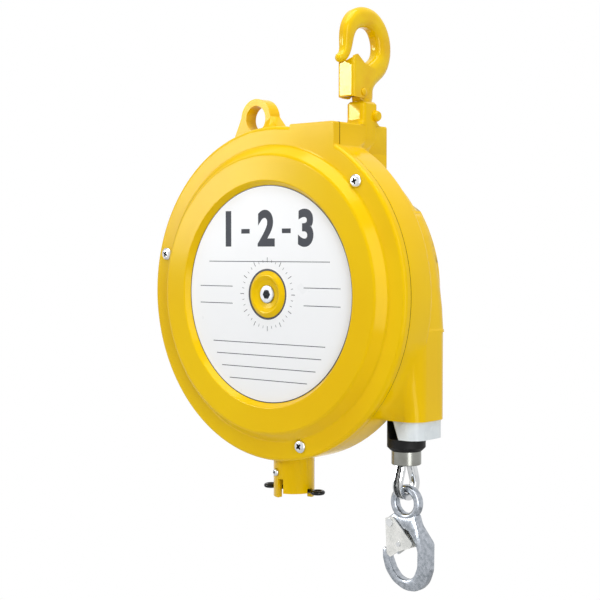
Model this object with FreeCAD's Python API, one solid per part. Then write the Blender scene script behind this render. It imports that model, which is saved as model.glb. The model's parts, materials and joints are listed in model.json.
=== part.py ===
"""Spring tool balancer: a round case on a swivelling safety hook, with a rope that carries a snap hook.

Every function builds one sub-part in the case frame: the drum turns about the Y axis, the dial plate's
face lies in the plane y = 0, the front looks along -Y and Z is up.  write_all() then moves everything
so that the origin is the point of the top hook that bears on the beam or trolley it hangs from.
"""
import FreeCAD, Part
import math
import os

V = FreeCAD.Vector
X_AXIS = V(1, 0, 0)
Y_AXIS = V(0, 1, 0)
Z_AXIS = V(0, 0, 1)

# ---------------------------------------------------------------- clearances
RUN = 0.05            # radial play of a shaft or pin that turns in its hole
GAP = 0.3             # air between pieces that pass each other
FIT = 0.02            # radial play of a piece that is pressed or screwed in
SEAT = 0.15           # air round a plate or a lip that is dropped into its recess

# ---------------------------------------------------------------- case
RIM_R = 115.5         # outside radius of the cover and of the case rim
COVER_FACE = 3.0      # flange face of the cover
SPLIT = 9.5           # joint between cover and case
SPLIT_BEVEL = 0.7     # bevel on both sides of the joint
RIM_BACK = 32.5       # back of the wide rim
RIM_WALL = 3.2
LIP_T = 2.6           # locating lip of the cover, inside the rim
LIP_H = 1.8
RIM_STEP = 11.5       # the back of the case is this much smaller in radius
CASE_BACK = 60.0
CASE_WALL = 3.0
BACK_HUB_R = 24.0
BACK_HUB_H = 3.5
THRUST_RISE = 1.2     # ring inside the back that the drum bush runs against
RING_FACE = -4.0      # raised ring round the dial
FLANGE_FLAT = 13.5    # flat border of the cover outside the ring
RING_SLOPE = 6.0
COVER_WALL = 3.5
DIAL_R = 75.0
DIAL_T = 1.0
DIAL_BANK = 3.0       # how far the bank round the dial leans outwards
HUB_R = 16.2          # boss that stands through the dial
HUB_CREST_R = 13.0
HUB_RISE = 2.6
HUB_DISH_R = 9.8

SCREW_INSET = 9.0     # from the rim to the circle of the cover screws
SCREW_ANGLES = (45.0, 165.0, 285.0)
SCREW_R = 2.5         # M5
SCREW_HEAD_R = 4.6
SCREW_HEAD_H = 2.2
SCREW_L = 18.0
SCREW_POST_R = 6.0

# ---------------------------------------------------------------- hook boss and neck
BOSS_X0 = 17.8
BOSS_X1 = 56.4
BOSS_RISE = 0.2       # top of the boss above the rim's highest point
BOSS_BACK = 61.0
BOSS_ROUND = 3.0
NECK_X = 48.6         # axis of the hook shank
NECK_Y = 43.2
NECK_WX = 15.8
NECK_WY = 16.8
NECK_H = 15.8
NECK_FLARE = 3.0
NECK_ROUND = 3.6
NECK_BEVEL = 1.6
SHANK_R = 6.4
SHANK_DEPTH = 30.5    # length of the shank inside the neck and the boss
PIN_R = 2.1           # cross pin that keeps the shank in the neck
PIN_DROP = 9.5        # from the neck's top to the pin
PIN_OFFSET = 5.4      # from the shank axis to the pin axis
PIN_HEAD_R = 3.9
PIN_HEAD_H = 2.6
GROOVE_H = 4.8

# ---------------------------------------------------------------- safety-chain lug
LUG_X = -25.0
LUG_Y = 15.4
LUG_T = 10.2
LUG_RISE = 7.5        # centre of the eye above the rim
LUG_R = 14.0
LUG_HOLE_R = 9.2
LUG_FOOT = 21.0       # half width where it runs into the rim

# ---------------------------------------------------------------- rope outlet
ROPE_R = 1.6
ROPE_DEPTH = 6.4      # from the drum's flange down to the rope's centre
ROPE_Y = 37.0
TUBE_INNER = 11.6     # from the rope to the outlet's root
TUBE_OUTER = 19.6     # from the rope to the outlet's outer side
TUBE_Y0 = 22.0
TUBE_Y1 = 58.5
TUBE_CUT = 1.31       # the outlet ends this far above the rim beside it
TUBE_ROUND = 11.0
TUBE_WALL = 3.0
BULGE_R = 60.0        # crown over the top of the outlet
BULGE_Z = 8.5
NOZZLE_INSET = 1.2
NOZZLE_H = 12.3
NOZZLE_PLUG = 14.0    # part of the nozzle that sits up inside the outlet
NOZZLE_ROUND = 8.0
MOUTH_R = 4.5         # half width of the slot the rope runs in
MOUTH_Y1 = 51.0
NOZZLE_CUT = 5.0      # slant on the side of the bumper's high wall

# ---------------------------------------------------------------- drum and spring
SHAFT_END_R = 6.2
SHAFT_R = 8.0
SHAFT_FRONT = -0.9
COVER_HUB_END = 9.0   # inner end of the hub of the cover
HEX_AF = 6.0
HEX_DEPTH = 7.0
NUT_AF = 19.0
NUT_T = 5.0
WASHER_R = 11.0
WASHER_T = 1.2
CLIP_T = 1.2
DRUM_FRONT = 18.0
DRUM_BACK = 55.0
DRUM_AIR = 3.0        # between the drum's flanges and the case
FLANGE_T = 2.2
LOCK_STEP = 5.0       # the lock rim is this much smaller than the flanges
DRUM_WALL = 8.0
WEB_T = 3.0
HUB_BORE_R = 11.0
DRUM_HUB_R = 17.0
COIL_Y0 = 35.4
COIL_Y1 = 52.6
LOCK_HOLES = 12
LOCK_HOLE_R = 4.6
COVER_DISC_T = 2.5
DRUM_SCREWS = 6
ANCHOR_R = 2.5
ANCHOR_ANGLE = 120.0
ANCHOR_Y = 49.0
ARBOR_R = 15.0
STRIP_T = 0.9
STRIP_W = 22.0
STRIP_TURNS = 6
STRIP_R0 = 18.5
STRIP_AIR = 2.95      # between the outermost turn and the drum wall
RATCHET_R = 22.0
RATCHET_T = 3.4
RATCHET_TEETH = 18
TOOTH_H = 3.2
PAWL_TOOTH = 4        # tooth that the pawl stands against
PAWL_REACH = 24.0     # from the nose of the pawl to its pin
PAWL_PIN_R = 2.5
PAWL_HUB_R = 5.0
PAWL_SPRING_WIRE = 0.5

# ---------------------------------------------------------------- drum lock
LOCK_X = 1.6
LOCK_Y = 26.2
LOCK_TUBE_R = 14.5
LOCK_TUBE_BORE = 10.5
LOCK_FLOOR_T = 3.0
LOCK_TUBE_H = 39.6    # from the floor to the long quarters' ends
LOCK_QUARTER = 3.2    # the short quarters end this much higher
NOTCH_H = 6.2         # depth of the shallow notches from the long quarters' ends
SLOT_H = 13.2
SLOT_W = 4.6
PLUNGER_R = 4.0
PLUNGER_AIR = 2.2     # between the drum's lock rim and the plunger at rest
PLUNGER_TAIL = 2.9    # plunger below the handle
COLLAR_R = 9.0
COLLAR_T = 2.4
LOCK_BUSH_T = 7.0
LOCK_SPRING_L = 10.3  # length of the spring at rest
HANDLE_R = 1.5
EAR_R = 3.7
EAR_REACH = 27.0
SET_SCREW_DROP = 6.0  # from the bush's top to the screw

# ---------------------------------------------------------------- rope end
BUMPER_R = 12.9
BUMPER_H = 8.0
BUMPER_WALL_H = 11.0
BUMPER_CHAMFER = 2.2
FERRULE_R = 10.0
FERRULE_H = 9.6
LOOP_HALF = 9.0       # half width of the rope eye
LOOP_H = 13.0         # from the ferrule to the widest point of the eye
THIMBLE_T = 0.9
THIMBLE_LIP = 2.1     # how far its flanges stand out beside the rope
THIMBLE_SHORT = 1.2
STRAND_Y = 5.0        # the legs of the eye enter the ferrule this far from its axis
ROPE_GRIP = 2.5       # length of rope inside the ferrule
EYE_R = 12.0
EYE_HOLE_R = 7.0
EYE_SIDE = 0.6        # the hook's eye hangs this far to the right of the rope
EYE_DROP = 3.6        # from the middle of the rope eye's lowest point to the centre of the hook's eye
SNAP_T = 7.2
SNAP_BEVEL = 1.3
GATE_T = 1.1
GATE_PIN_R = 1.8
GATE_PIN_X = -10.7
GATE_PIN_Z = -14.1
GATE_LUG_R = 3.4
STOP_PIN_R = 1.1
RIVET_HEAD_T = 0.6

# ---------------------------------------------------------------- top hook
HOOK_T = 5.4          # half thickness of the forging
SEAT_RISE = 50.5      # from the neck's top to the underside of the bowl
LATCH_T = 1.4
LATCH_WIDE = 14.6
LATCH_REACH = 10.8    # from the rivet to the latch's outer face
LATCH_FOLD = 2.4      # outside radius of its folds
LATCH_COIL_R = 3.0
RIVET_AHEAD = 7.2     # from the shank's axis to the rivet
RIVET_RISE = 5.9      # from the neck's top to the rivet
RIVET_R = 2.2

# ---------------------------------------------------------------- worked out from the sizes above
DRUM_CASE_R = RIM_R - RIM_STEP
RING_FOOT_R = RIM_R - FLANGE_FLAT
RING_R = RING_FOOT_R - RING_SLOPE
SCREW_PITCH_R = RIM_R - SCREW_INSET
BOSS_TOP = RIM_R + BOSS_RISE
NECK_TOP = BOSS_TOP + NECK_H
SHANK_FOOT = NECK_TOP - SHANK_DEPTH
PIN_Z = NECK_TOP - PIN_DROP
LUG_Z = RIM_R + LUG_RISE
SEAT_Z = NECK_TOP + SEAT_RISE
RIVET_Y = NECK_Y - RIVET_AHEAD
RIVET_Z = NECK_TOP + RIVET_RISE
WEB_Y = RIVET_Y - LATCH_REACH
FLANGE_R = DRUM_CASE_R - CASE_WALL - DRUM_AIR
LOCK_RIM_R = FLANGE_R - LOCK_STEP
ROPE_X = FLANGE_R - ROPE_DEPTH          # the rope hangs here when it is fully wound in
TUBE_X0 = ROPE_X - TUBE_INNER
TUBE_X1 = ROPE_X + TUBE_OUTER
TUBE_END = TUBE_CUT - math.sqrt(RIM_R ** 2 - TUBE_X0 ** 2)
LOCK_FLOOR_TOP = RIM_STEP + 1.0 - RIM_R
LOCK_LONG = LOCK_FLOOR_TOP - LOCK_TUBE_H
LOCK_SHORT = LOCK_LONG + LOCK_QUARTER
NOTCH_TOP = LOCK_LONG + NOTCH_H
SLOT_TOP = LOCK_LONG + SLOT_H
HANDLE_Z = NOTCH_TOP - HANDLE_R - 0.2
PLUNGER_TIP = -LOCK_RIM_R - PLUNGER_AIR
PLUNGER_FOOT = HANDLE_Z - PLUNGER_TAIL
COLLAR_END = LOCK_FLOOR_TOP - LOCK_FLOOR_T - GAP - COLLAR_T
LOCK_BUSH_TOP = COLLAR_END - LOCK_SPRING_L
SET_SCREW_Z = LOCK_BUSH_TOP - SET_SCREW_DROP
NOZZLE_END = TUBE_END - NOZZLE_H
BUMPER_TOP = NOZZLE_END - GAP
BUMPER_END = BUMPER_TOP - BUMPER_H
FERRULE_END = BUMPER_END - FERRULE_H
LOOP_Z = FERRULE_END - LOOP_H
LOOP_END = LOOP_Z - LOOP_HALF
EYE_Z = LOOP_END - EYE_DROP
DRUM_R = ROPE_X - ROPE_R - RUN
STRIP_R1 = DRUM_R - DRUM_WALL - STRIP_AIR
EYE_X = ROPE_X + EYE_SIDE
SHAFT_SHOULDER = COVER_HUB_END + GAP
RATCHET_Y = SHAFT_SHOULDER + 0.6
SHAFT_BACK = CASE_BACK - CASE_WALL - THRUST_RISE - GAP
SHAFT_TAIL = CASE_BACK + BACK_HUB_H + WASHER_T + NUT_T + 1.0
HOOK_SEAT = V(NECK_X, NECK_Y, SEAT_Z)


# ================================================================ drawing helpers
def on_xz(y):
    """Returns the placing rule for outlines drawn in a plane of constant y, as (x, z)."""
    return lambda a, b: V(a, y, b)


def on_yz(x):
    """Returns the placing rule for outlines drawn in a plane of constant x, as (y, z)."""
    return lambda a, b: V(x, a, b)


def on_xy(z):
    """Returns the placing rule for outlines drawn in a plane of constant z, as (x, y)."""
    return lambda a, b: V(a, b, z)


def half_plane(r, y):
    """Placing rule for the half section that is turned about the Y axis, as (radius, y)."""
    return V(r, y, 0)


def rounded(points, place):
    """Closed wire through corner points (a, b) or (a, b, radius); the given radii become tangent arcs."""
    count = len(points)
    ends = []
    for i, point in enumerate(points):
        corner = V(point[0], point[1], 0)
        radius = point[2] if len(point) > 2 else 0
        before = V(points[i - 1][0], points[i - 1][1], 0) - corner
        after = V(points[(i + 1) % count][0], points[(i + 1) % count][1], 0) - corner
        if radius == 0:
            ends.append((corner, None, corner))
            continue
        half = before.getAngle(after) / 2
        reach = radius / math.tan(half)
        before.normalize()
        after.normalize()
        bisector = (before + after).normalize()
        middle = corner + bisector * (radius / math.sin(half) - radius)
        ends.append((corner + before * reach, middle, corner + after * reach))
    edges = []
    for i, (start, middle, end) in enumerate(ends):
        if middle is not None:
            edges.append(Part.Arc(*(place(p.x, p.y) for p in (start, middle, end))).toShape())
        following = ends[(i + 1) % count][0]
        if (following - end).Length > 1e-6:
            edges.append(Part.makeLine(place(end.x, end.y), place(following.x, following.y)))
    return Part.Wire(edges)


def turned(points):
    """Solid of revolution about the Y axis from a half section of (radius, y[, corner radius])."""
    return Part.Face(rounded(points, half_plane)).revolve(V(), Y_AXIS, 360)


def slab(points, place, along):
    """Prism of a rounded outline."""
    return Part.Face(rounded(points, place)).extrude(along)


def rod(radius, start, end):
    """Round bar from one point to another."""
    axis = end - start
    return Part.makeCylinder(radius, axis.Length, start, axis)


def ring(outer, inner, start, end):
    """Round bar with a hole."""
    return rod(outer, start, end).cut(rod(inner, start, end))


def block(x0, x1, y0, y1, z0, z1):
    return Part.makeBox(x1 - x0, y1 - y0, z1 - z0, V(x0, y0, z0))


def fuse(*solids):
    return solids[0].multiFuse(list(solids[1:])).removeSplitter()


def polar(radius, degrees, y=0.0):
    """Point on a circle round the drum axis; 0 degrees is +X and 90 degrees is up."""
    angle = math.radians(degrees)
    return V(radius * math.cos(angle), y, radius * math.sin(angle))


def forged(stations, place, across):
    """Bar of soft-cornered oval sections along a line.

    Each station is (a, b, half width, half thickness); a and b lie in the plane of the line, and the
    section stands square to the line there.
    """
    wires = []
    for i, (a, b, wide, thick) in enumerate(stations):
        first = stations[max(i - 1, 0)]
        last = stations[min(i + 1, len(stations) - 1)]
        centre = place(a, b)
        heading = (place(last[0], last[1]) - place(first[0], first[1])).normalize()
        side = heading.cross(across).normalize()
        points = []
        for k in range(12):
            turn = math.radians(30 * k)
            flat = abs(math.cos(turn)) ** 3 + abs(math.sin(turn)) ** 3
            reach = flat ** (-1.0 / 3)
            points.append(centre + side * (wide * reach * math.cos(turn))
                          + across * (thick * reach * math.sin(turn)))
        curve = Part.BSplineCurve()
        curve.interpolate(Points=points, PeriodicFlag=True)
        wires.append(Part.Wire([curve.toShape()]))
    return Part.makeLoft(wires, True, False)


# ================================================================ case
def boss_block(y0, y1):
    """Block of the hook boss between two depths, square at the top and flush with the rim."""
    root = DRUM_CASE_R - 14.0
    outline = [(BOSS_X0, root), (BOSS_X1, root), (BOSS_X1, BOSS_TOP, BOSS_ROUND / 2), (BOSS_X0, BOSS_TOP, 1.0)]
    return slab(outline, on_xz(y0), V(0, y1 - y0, 0))


def front_cover():
    back_of_dial = DIAL_T + COVER_WALL
    inner_foot = RING_FOOT_R - COVER_WALL / 2
    shell = turned([
        (SHAFT_END_R + RUN, 0.3), (HUB_DISH_R, -0.2, 0.6), (HUB_CREST_R, -HUB_RISE, 1.8), (HUB_R, 0.0, 0.5),
        (HUB_R, DIAL_T), (DIAL_R + SEAT, DIAL_T), (DIAL_R + SEAT, 0.0),
        (DIAL_R + DIAL_BANK, RING_FACE, 1.2), (RING_R, RING_FACE, 2.5), (RING_FOOT_R, COVER_FACE, 2.0),
        (RIM_R, COVER_FACE, 2.6), (RIM_R, SPLIT - SPLIT_BEVEL), (RIM_R - SPLIT_BEVEL, SPLIT),
        (RIM_R - RIM_WALL - SEAT, SPLIT), (RIM_R - RIM_WALL - SEAT, SPLIT + LIP_H),
        (RIM_R - RIM_WALL - SEAT - LIP_T, SPLIT + LIP_H), (RIM_R - RIM_WALL - SEAT - LIP_T, COVER_FACE + COVER_WALL),
        (inner_foot, COVER_FACE + COVER_WALL), (RING_R - 2.0, RING_FACE + COVER_WALL),
        (DIAL_R + DIAL_BANK + COVER_WALL, RING_FACE + COVER_WALL), (DIAL_R + COVER_WALL, back_of_dial),
        (HUB_R + 4.0, back_of_dial), (HUB_R, COVER_HUB_END, 1.0), (SHAFT_END_R + RUN, COVER_HUB_END)])
    boss = boss_block(COVER_FACE, SPLIT)
    boss = boss.cut(rod(RIM_R - RIM_WALL, V(0, 0, 0), V(0, SPLIT + 1, 0)))
    pads = [rod(SCREW_POST_R, polar(SCREW_PITCH_R, a, COVER_FACE + 1), polar(SCREW_PITCH_R, a, SPLIT))
            for a in SCREW_ANGLES]
    cover = fuse(shell, boss, pawl_boss(), *pads)
    holes = [rod(SCREW_R + GAP, polar(SCREW_PITCH_R, a, 0), polar(SCREW_PITCH_R, a, SPLIT + LIP_H + 1))
             for a in SCREW_ANGLES]
    clear = [rod(SCREW_POST_R + GAP, polar(SCREW_PITCH_R, a, SPLIT), polar(SCREW_PITCH_R, a, SPLIT + LIP_H + 1))
             for a in SCREW_ANGLES]
    clear += [rod(SCREW_HEAD_R + GAP, polar(SCREW_PITCH_R, a, RING_FACE), polar(SCREW_PITCH_R, a, COVER_FACE))
              for a in SCREW_ANGLES]
    pin_hole = rod(PAWL_PIN_R + FIT, pawl_pin_at(DIAL_T + COVER_WALL + 1.0), pawl_pin_at(SPLIT + 5))
    return cover.cut(Part.makeCompound(holes + clear + [pin_hole]))


def outlet(inset, top, bottom):
    """Rounded box of the rope outlet, shrunk by inset, between two heights."""
    outline = [(TUBE_X0, TUBE_Y0 + inset, 0.5), (TUBE_X1 - inset, TUBE_Y0 + inset, TUBE_ROUND - inset),
               (TUBE_X1 - inset, TUBE_Y1 - inset, TUBE_ROUND - inset), (TUBE_X0, TUBE_Y1 - inset, 0.5)]
    return slab(outline, on_xy(bottom), V(0, 0, top - bottom))


def outlet_body():
    """Outlet under a crown that follows the case round at the top."""
    centre_x = TUBE_X1 - BULGE_R
    tall = outlet(0, BULGE_Z + BULGE_R, TUBE_END)
    crown = rod(BULGE_R, V(centre_x, TUBE_Y0, BULGE_Z), V(centre_x, TUBE_Y1, BULGE_Z))
    skirt = block(centre_x, TUBE_X1 + 1, TUBE_Y0, TUBE_Y1, TUBE_END - 1, BULGE_Z)
    return tall.common(crown.fuse(skirt))


def main_case():
    inner = RIM_R - RIM_WALL
    drum_inner = DRUM_CASE_R - CASE_WALL
    hub_back = CASE_BACK + BACK_HUB_H
    body = turned([
        (0, SPLIT), (RIM_R - SPLIT_BEVEL, SPLIT), (RIM_R, SPLIT + SPLIT_BEVEL), (RIM_R, RIM_BACK, 2.5),
        (DRUM_CASE_R, RIM_BACK + 3.0, 1.5), (DRUM_CASE_R, CASE_BACK, 9.0), (BACK_HUB_R + 2.0, CASE_BACK, 1.0),
        (BACK_HUB_R, hub_back, 1.0), (0, hub_back)])
    boss = boss_block(SPLIT, BOSS_BACK)
    neck = neck_block()
    lock = rod(LOCK_TUBE_R, V(LOCK_X, LOCK_Y, LOCK_LONG), V(LOCK_X, LOCK_Y, LOCK_FLOOR_TOP))
    outside = fuse(body, boss, neck, lug(), outlet_body(), lock)
    hollow = turned([
        (0, SPLIT - 1), (inner, SPLIT - 1), (inner, RIM_BACK - RIM_WALL), (drum_inner, RIM_BACK, 1.0),
        (drum_inner, CASE_BACK - CASE_WALL, 8.0), (0, CASE_BACK - CASE_WALL)])
    posts = [rod(SCREW_POST_R, polar(SCREW_PITCH_R, a, SPLIT), polar(SCREW_PITCH_R, a, RIM_BACK))
             for a in SCREW_ANGLES]
    floor = rod(LOCK_TUBE_R, V(LOCK_X, LOCK_Y, -RIM_R), V(LOCK_X, LOCK_Y, LOCK_FLOOR_TOP))
    thrust_face = rod(BACK_HUB_R - CASE_WALL, V(0, CASE_BACK - CASE_WALL - THRUST_RISE, 0), V(0, CASE_BACK, 0))
    hollow = hollow.cut(Part.makeCompound(posts + [floor, thrust_face]))
    return outside.cut(hollow).cut(Part.makeCompound(case_openings()))


def neck_block():
    """Neck that holds the shank, with a flared foot on the boss."""
    x0 = NECK_X - NECK_WX / 2
    y0 = NECK_Y - NECK_WY / 2
    outline = [(x0, y0, NECK_ROUND), (x0 + NECK_WX, y0, NECK_ROUND),
               (x0 + NECK_WX, y0 + NECK_WY, NECK_ROUND), (x0, y0 + NECK_WY, NECK_ROUND)]
    neck = slab(outline, on_xy(BOSS_TOP - 10), V(0, 0, NECK_TOP - BOSS_TOP + 10))
    top_edges = [e for e in neck.Edges if e.BoundBox.ZMin > NECK_TOP - 0.01]
    neck = neck.makeChamfer(NECK_BEVEL, top_edges)
    levels = []
    for rise, grow in ((-0.5, NECK_FLARE), (0.7, NECK_FLARE * 0.45), (2.2, NECK_FLARE * 0.12), (4.5, 0.0)):
        corners = [(x0 - grow, y0 - grow), (x0 + NECK_WX + grow, y0 - grow),
                   (x0 + NECK_WX + grow, y0 + NECK_WY + grow), (x0 - grow, y0 + NECK_WY + grow)]
        levels.append(rounded([(a, b, NECK_ROUND + grow) for a, b in corners], on_xy(BOSS_TOP + rise)))
    foot = Part.makeLoft(levels, True, False)
    foot = foot.common(block(BOSS_X0, BOSS_X1, y0 - 10, y0 + NECK_WY + 10, BOSS_TOP - 1, NECK_TOP))
    return fuse(neck, foot)


def lug():
    """Eye for the safety chain, drawn from a circle down to a wide foot."""
    reach = math.sqrt(RIM_R ** 2 - LUG_X ** 2) - 3.0
    foot = slab([(LUG_X - LUG_FOOT, reach), (LUG_X + LUG_FOOT, reach + 6.0), (LUG_X + LUG_R, LUG_Z + 1.0),
                 (LUG_X - LUG_R, LUG_Z + 1.0)], on_xz(LUG_Y), V(0, LUG_T, 0))
    eye = rod(LUG_R, V(LUG_X, LUG_Y, LUG_Z), V(LUG_X, LUG_Y + LUG_T, LUG_Z))
    both = fuse(foot, eye)
    return both.cut(rod(LUG_HOLE_R, V(LUG_X, 0, LUG_Z), V(LUG_X, RIM_BACK, LUG_Z)))


def case_openings():
    """Everything that is bored or milled into the case."""
    screw_holes = [rod(SCREW_R + FIT, polar(SCREW_PITCH_R, a, SPLIT - 1), polar(SCREW_PITCH_R, a, SPLIT + SCREW_L))
                   for a in SCREW_ANGLES]
    shank = rod(SHANK_R + RUN, V(NECK_X, NECK_Y, SHANK_FOOT - GAP), V(NECK_X, NECK_Y, NECK_TOP + 1))
    pin_y = NECK_Y + PIN_OFFSET
    pin = rod(PIN_R + FIT, V(NECK_X - NECK_WX, pin_y, PIN_Z), V(NECK_X + NECK_WX, pin_y, PIN_Z))
    shaft = rod(SHAFT_END_R + RUN, V(0, CASE_BACK - 8, 0), V(0, CASE_BACK + 10, 0))
    rope_way = outlet(TUBE_WALL, BULGE_Z + 10, TUBE_END - 1)
    rope_way = rope_way.cut(block(TUBE_X0 - 1, TUBE_X0 + 4, 0, 80, -200, 100))
    return screw_holes + [shank, pin, shaft, rope_way] + lock_tube_cuts()


def lock_tube_cuts():
    """Bore of the lock tube, its shallow notches on X, its deep slots on Y and the two shorter quarters."""
    axis = V(LOCK_X, LOCK_Y, 0)
    floor_under = LOCK_FLOOR_TOP - LOCK_FLOOR_T
    bore = rod(LOCK_TUBE_BORE, axis + V(0, 0, LOCK_LONG - 1), axis + V(0, 0, floor_under))
    guide = rod(PLUNGER_R + RUN, axis + V(0, 0, floor_under - 1), axis + V(0, 0, LOCK_FLOOR_TOP + 12))
    reach = LOCK_TUBE_R + 1
    half = SLOT_W / 2
    notch = block(LOCK_X - reach, LOCK_X + reach, LOCK_Y - half, LOCK_Y + half, LOCK_LONG - 1, NOTCH_TOP)
    slot = block(LOCK_X - half, LOCK_X + half, LOCK_Y - reach, LOCK_Y + reach, LOCK_LONG - 1, SLOT_TOP)
    short_a = block(LOCK_X, LOCK_X + reach, LOCK_Y - reach, LOCK_Y, LOCK_LONG - 1, LOCK_SHORT)
    short_b = block(LOCK_X - reach, LOCK_X, LOCK_Y, LOCK_Y + reach, LOCK_LONG - 1, LOCK_SHORT)
    screw_hole = rod(1.5 + FIT, V(LOCK_X, LOCK_Y, SET_SCREW_Z) + set_screw_way() * 5,
                     V(LOCK_X, LOCK_Y, SET_SCREW_Z) + set_screw_way() * (LOCK_TUBE_R + 5))
    return [bore, guide, notch, slot, short_a, short_b, screw_hole]


def set_screw_way():
    """Unit direction in which the small screw looks out of the lock tube, above the front slot."""
    angle = math.radians(-105)
    return V(math.cos(angle), math.sin(angle), 0)


def dial_plate():
    return turned([(HUB_R + SEAT, 0), (DIAL_R, 0), (DIAL_R, DIAL_T - 0.02), (HUB_R + SEAT, DIAL_T - 0.02)])


def pan_screw(radius, head_radius, head_height, length, seat, way):
    """Cross-recess pan head screw; seat is the underside of its head and way points into the hole."""
    crown = seat - way * head_height
    head = rod(head_radius, seat, crown)
    rim = [e for e in head.Edges if (e.CenterOfMass - crown).Length < 0.01]
    head = head.makeFillet(head_height * 0.6, rim)
    return fuse(head, rod(radius, seat, seat + way * length))


def cover_screws():
    return Part.makeCompound([pan_screw(SCREW_R, SCREW_HEAD_R, SCREW_HEAD_H, SCREW_L,
                                        polar(SCREW_PITCH_R, a, COVER_FACE), Y_AXIS) for a in SCREW_ANGLES])


def neck_pin():
    """Dome-headed pin that runs in the groove of the hook shank."""
    y = NECK_Y + PIN_OFFSET
    face = NECK_X + NECK_WX / 2
    body = rod(PIN_R, V(NECK_X - NECK_WX / 2, y, PIN_Z), V(face, y, PIN_Z))
    dome = Part.makeSphere(PIN_HEAD_R, V(face, y, PIN_Z))
    dome = dome.common(block(face, face + PIN_HEAD_H, y - 9, y + 9, PIN_Z - 9, PIN_Z + 9))
    return fuse(body, dome)


# ================================================================ drum and spring
def main_shaft():
    shaft = turned([(0, SHAFT_FRONT), (SHAFT_END_R, SHAFT_FRONT, 0.6), (SHAFT_END_R, SHAFT_SHOULDER),
                    (SHAFT_R, SHAFT_SHOULDER), (SHAFT_R, SHAFT_BACK), (SHAFT_END_R, SHAFT_BACK),
                    (SHAFT_END_R, SHAFT_TAIL, 0.6), (0, SHAFT_TAIL)])
    socket = slab(hexagon(HEX_AF), on_xz(SHAFT_FRONT - 1), V(0, HEX_DEPTH + 1, 0))
    return shaft.cut(socket)


def hexagon(across_flats):
    """Corners of a regular hexagon with the given width across its flats."""
    reach = across_flats / math.sqrt(3)
    return [(reach * math.cos(math.radians(60 * k)), reach * math.sin(math.radians(60 * k))) for k in range(6)]


def shaft_washer():
    y0 = CASE_BACK + BACK_HUB_H
    return ring(WASHER_R, SHAFT_END_R + RUN, V(0, y0, 0), V(0, y0 + WASHER_T, 0))


def shaft_nut():
    """Hexagon nut that closes the shaft at the back of the case."""
    y0 = CASE_BACK + BACK_HUB_H + WASHER_T
    nut = slab(hexagon(NUT_AF), on_xz(y0), V(0, NUT_T, 0))
    return nut.cut(rod(SHAFT_END_R + FIT, V(0, y0 - 1, 0), V(0, y0 + NUT_T + 1, 0)))


def shaft_clip():
    """Ring that holds the ratchet wheel on the shaft."""
    y0 = RATCHET_Y + RATCHET_T + 0.1
    clip = ring(SHAFT_R + 2.4, SHAFT_R + FIT, V(0, y0, 0), V(0, y0 + CLIP_T, 0))
    return clip.cut(block(-1.5, 1.5, y0 - 1, y0 + CLIP_T + 1, SHAFT_R - 1, SHAFT_R + 4))


def spring_arbor():
    """Sleeve on the shaft that the inner end of the spring hooks on to."""
    y0 = DRUM_FRONT + WEB_T + 2.0
    y1 = DRUM_BACK - COVER_DISC_T - 3.0
    sleeve = ring(ARBOR_R, SHAFT_R + FIT, V(0, y0, 0), V(0, y1, 0))
    catch = block(ARBOR_R - 4.0, ARBOR_R + 1, y0 - 1, y1 + 1, -1.2, 1.2)
    return sleeve.cut(catch)


def drum_bush(y0, y1):
    return ring(HUB_BORE_R - FIT, SHAFT_R + RUN, V(0, y0, 0), V(0, y1, 0))


def drum_bushes():
    front = drum_bush(DRUM_FRONT - 2.0, DRUM_FRONT + WEB_T + 1.6)
    back = drum_bush(DRUM_BACK - COVER_DISC_T - 2.6, DRUM_BACK + 0.6)
    return Part.makeCompound([front, back])


def drum():
    """Rope drum: lock rim at the front, rope seat between two flanges, spring chamber open to the back."""
    wall_r = DRUM_R - DRUM_WALL
    body = turned([
        (HUB_BORE_R, DRUM_FRONT - 2.0), (DRUM_HUB_R, DRUM_FRONT - 2.0, 1.0), (DRUM_HUB_R, DRUM_FRONT),
        (LOCK_RIM_R, DRUM_FRONT, 1.0), (LOCK_RIM_R, COIL_Y0 - FLANGE_T), (FLANGE_R, COIL_Y0 - FLANGE_T, 0.8),
        (FLANGE_R, COIL_Y0, 0.8), (DRUM_R, COIL_Y0), (DRUM_R, COIL_Y1), (FLANGE_R, COIL_Y1, 0.8),
        (FLANGE_R, DRUM_BACK, 0.8), (wall_r + 4.0, DRUM_BACK), (wall_r + 4.0, DRUM_BACK - COVER_DISC_T),
        (wall_r, DRUM_BACK - COVER_DISC_T), (wall_r, DRUM_FRONT + WEB_T, 2.0), (DRUM_HUB_R, DRUM_FRONT + WEB_T),
        (DRUM_HUB_R, DRUM_FRONT + WEB_T + 1.6), (HUB_BORE_R, DRUM_FRONT + WEB_T + 1.6)])
    holes = []
    for k in range(LOCK_HOLES):
        angle = -90 + 360.0 / LOCK_HOLES * k
        holes.append(rod(LOCK_HOLE_R, polar(wall_r + 3, angle, LOCK_Y), polar(LOCK_RIM_R + 1, angle, LOCK_Y)))
    for k in range(DRUM_SCREWS):
        angle = 30 + 360.0 / DRUM_SCREWS * k
        at = wall_r + 2.0
        holes.append(rod(1.27, polar(at, angle, DRUM_BACK - 12), polar(at, angle, DRUM_BACK + 1)))
    holes.append(rod(ANCHOR_R + FIT, polar(DRUM_R - DRUM_WALL - 1, ANCHOR_ANGLE, ANCHOR_Y),
                     polar(DRUM_R + 1, ANCHOR_ANGLE, ANCHOR_Y)))
    return body.cut(Part.makeCompound(holes))


def rope_anchor():
    """Grub screw in the drum wall that clamps the inner end of the rope."""
    return rod(ANCHOR_R, polar(DRUM_R - DRUM_WALL + 1.0, ANCHOR_ANGLE, ANCHOR_Y),
               polar(DRUM_R - 0.1, ANCHOR_ANGLE, ANCHOR_Y))


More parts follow.
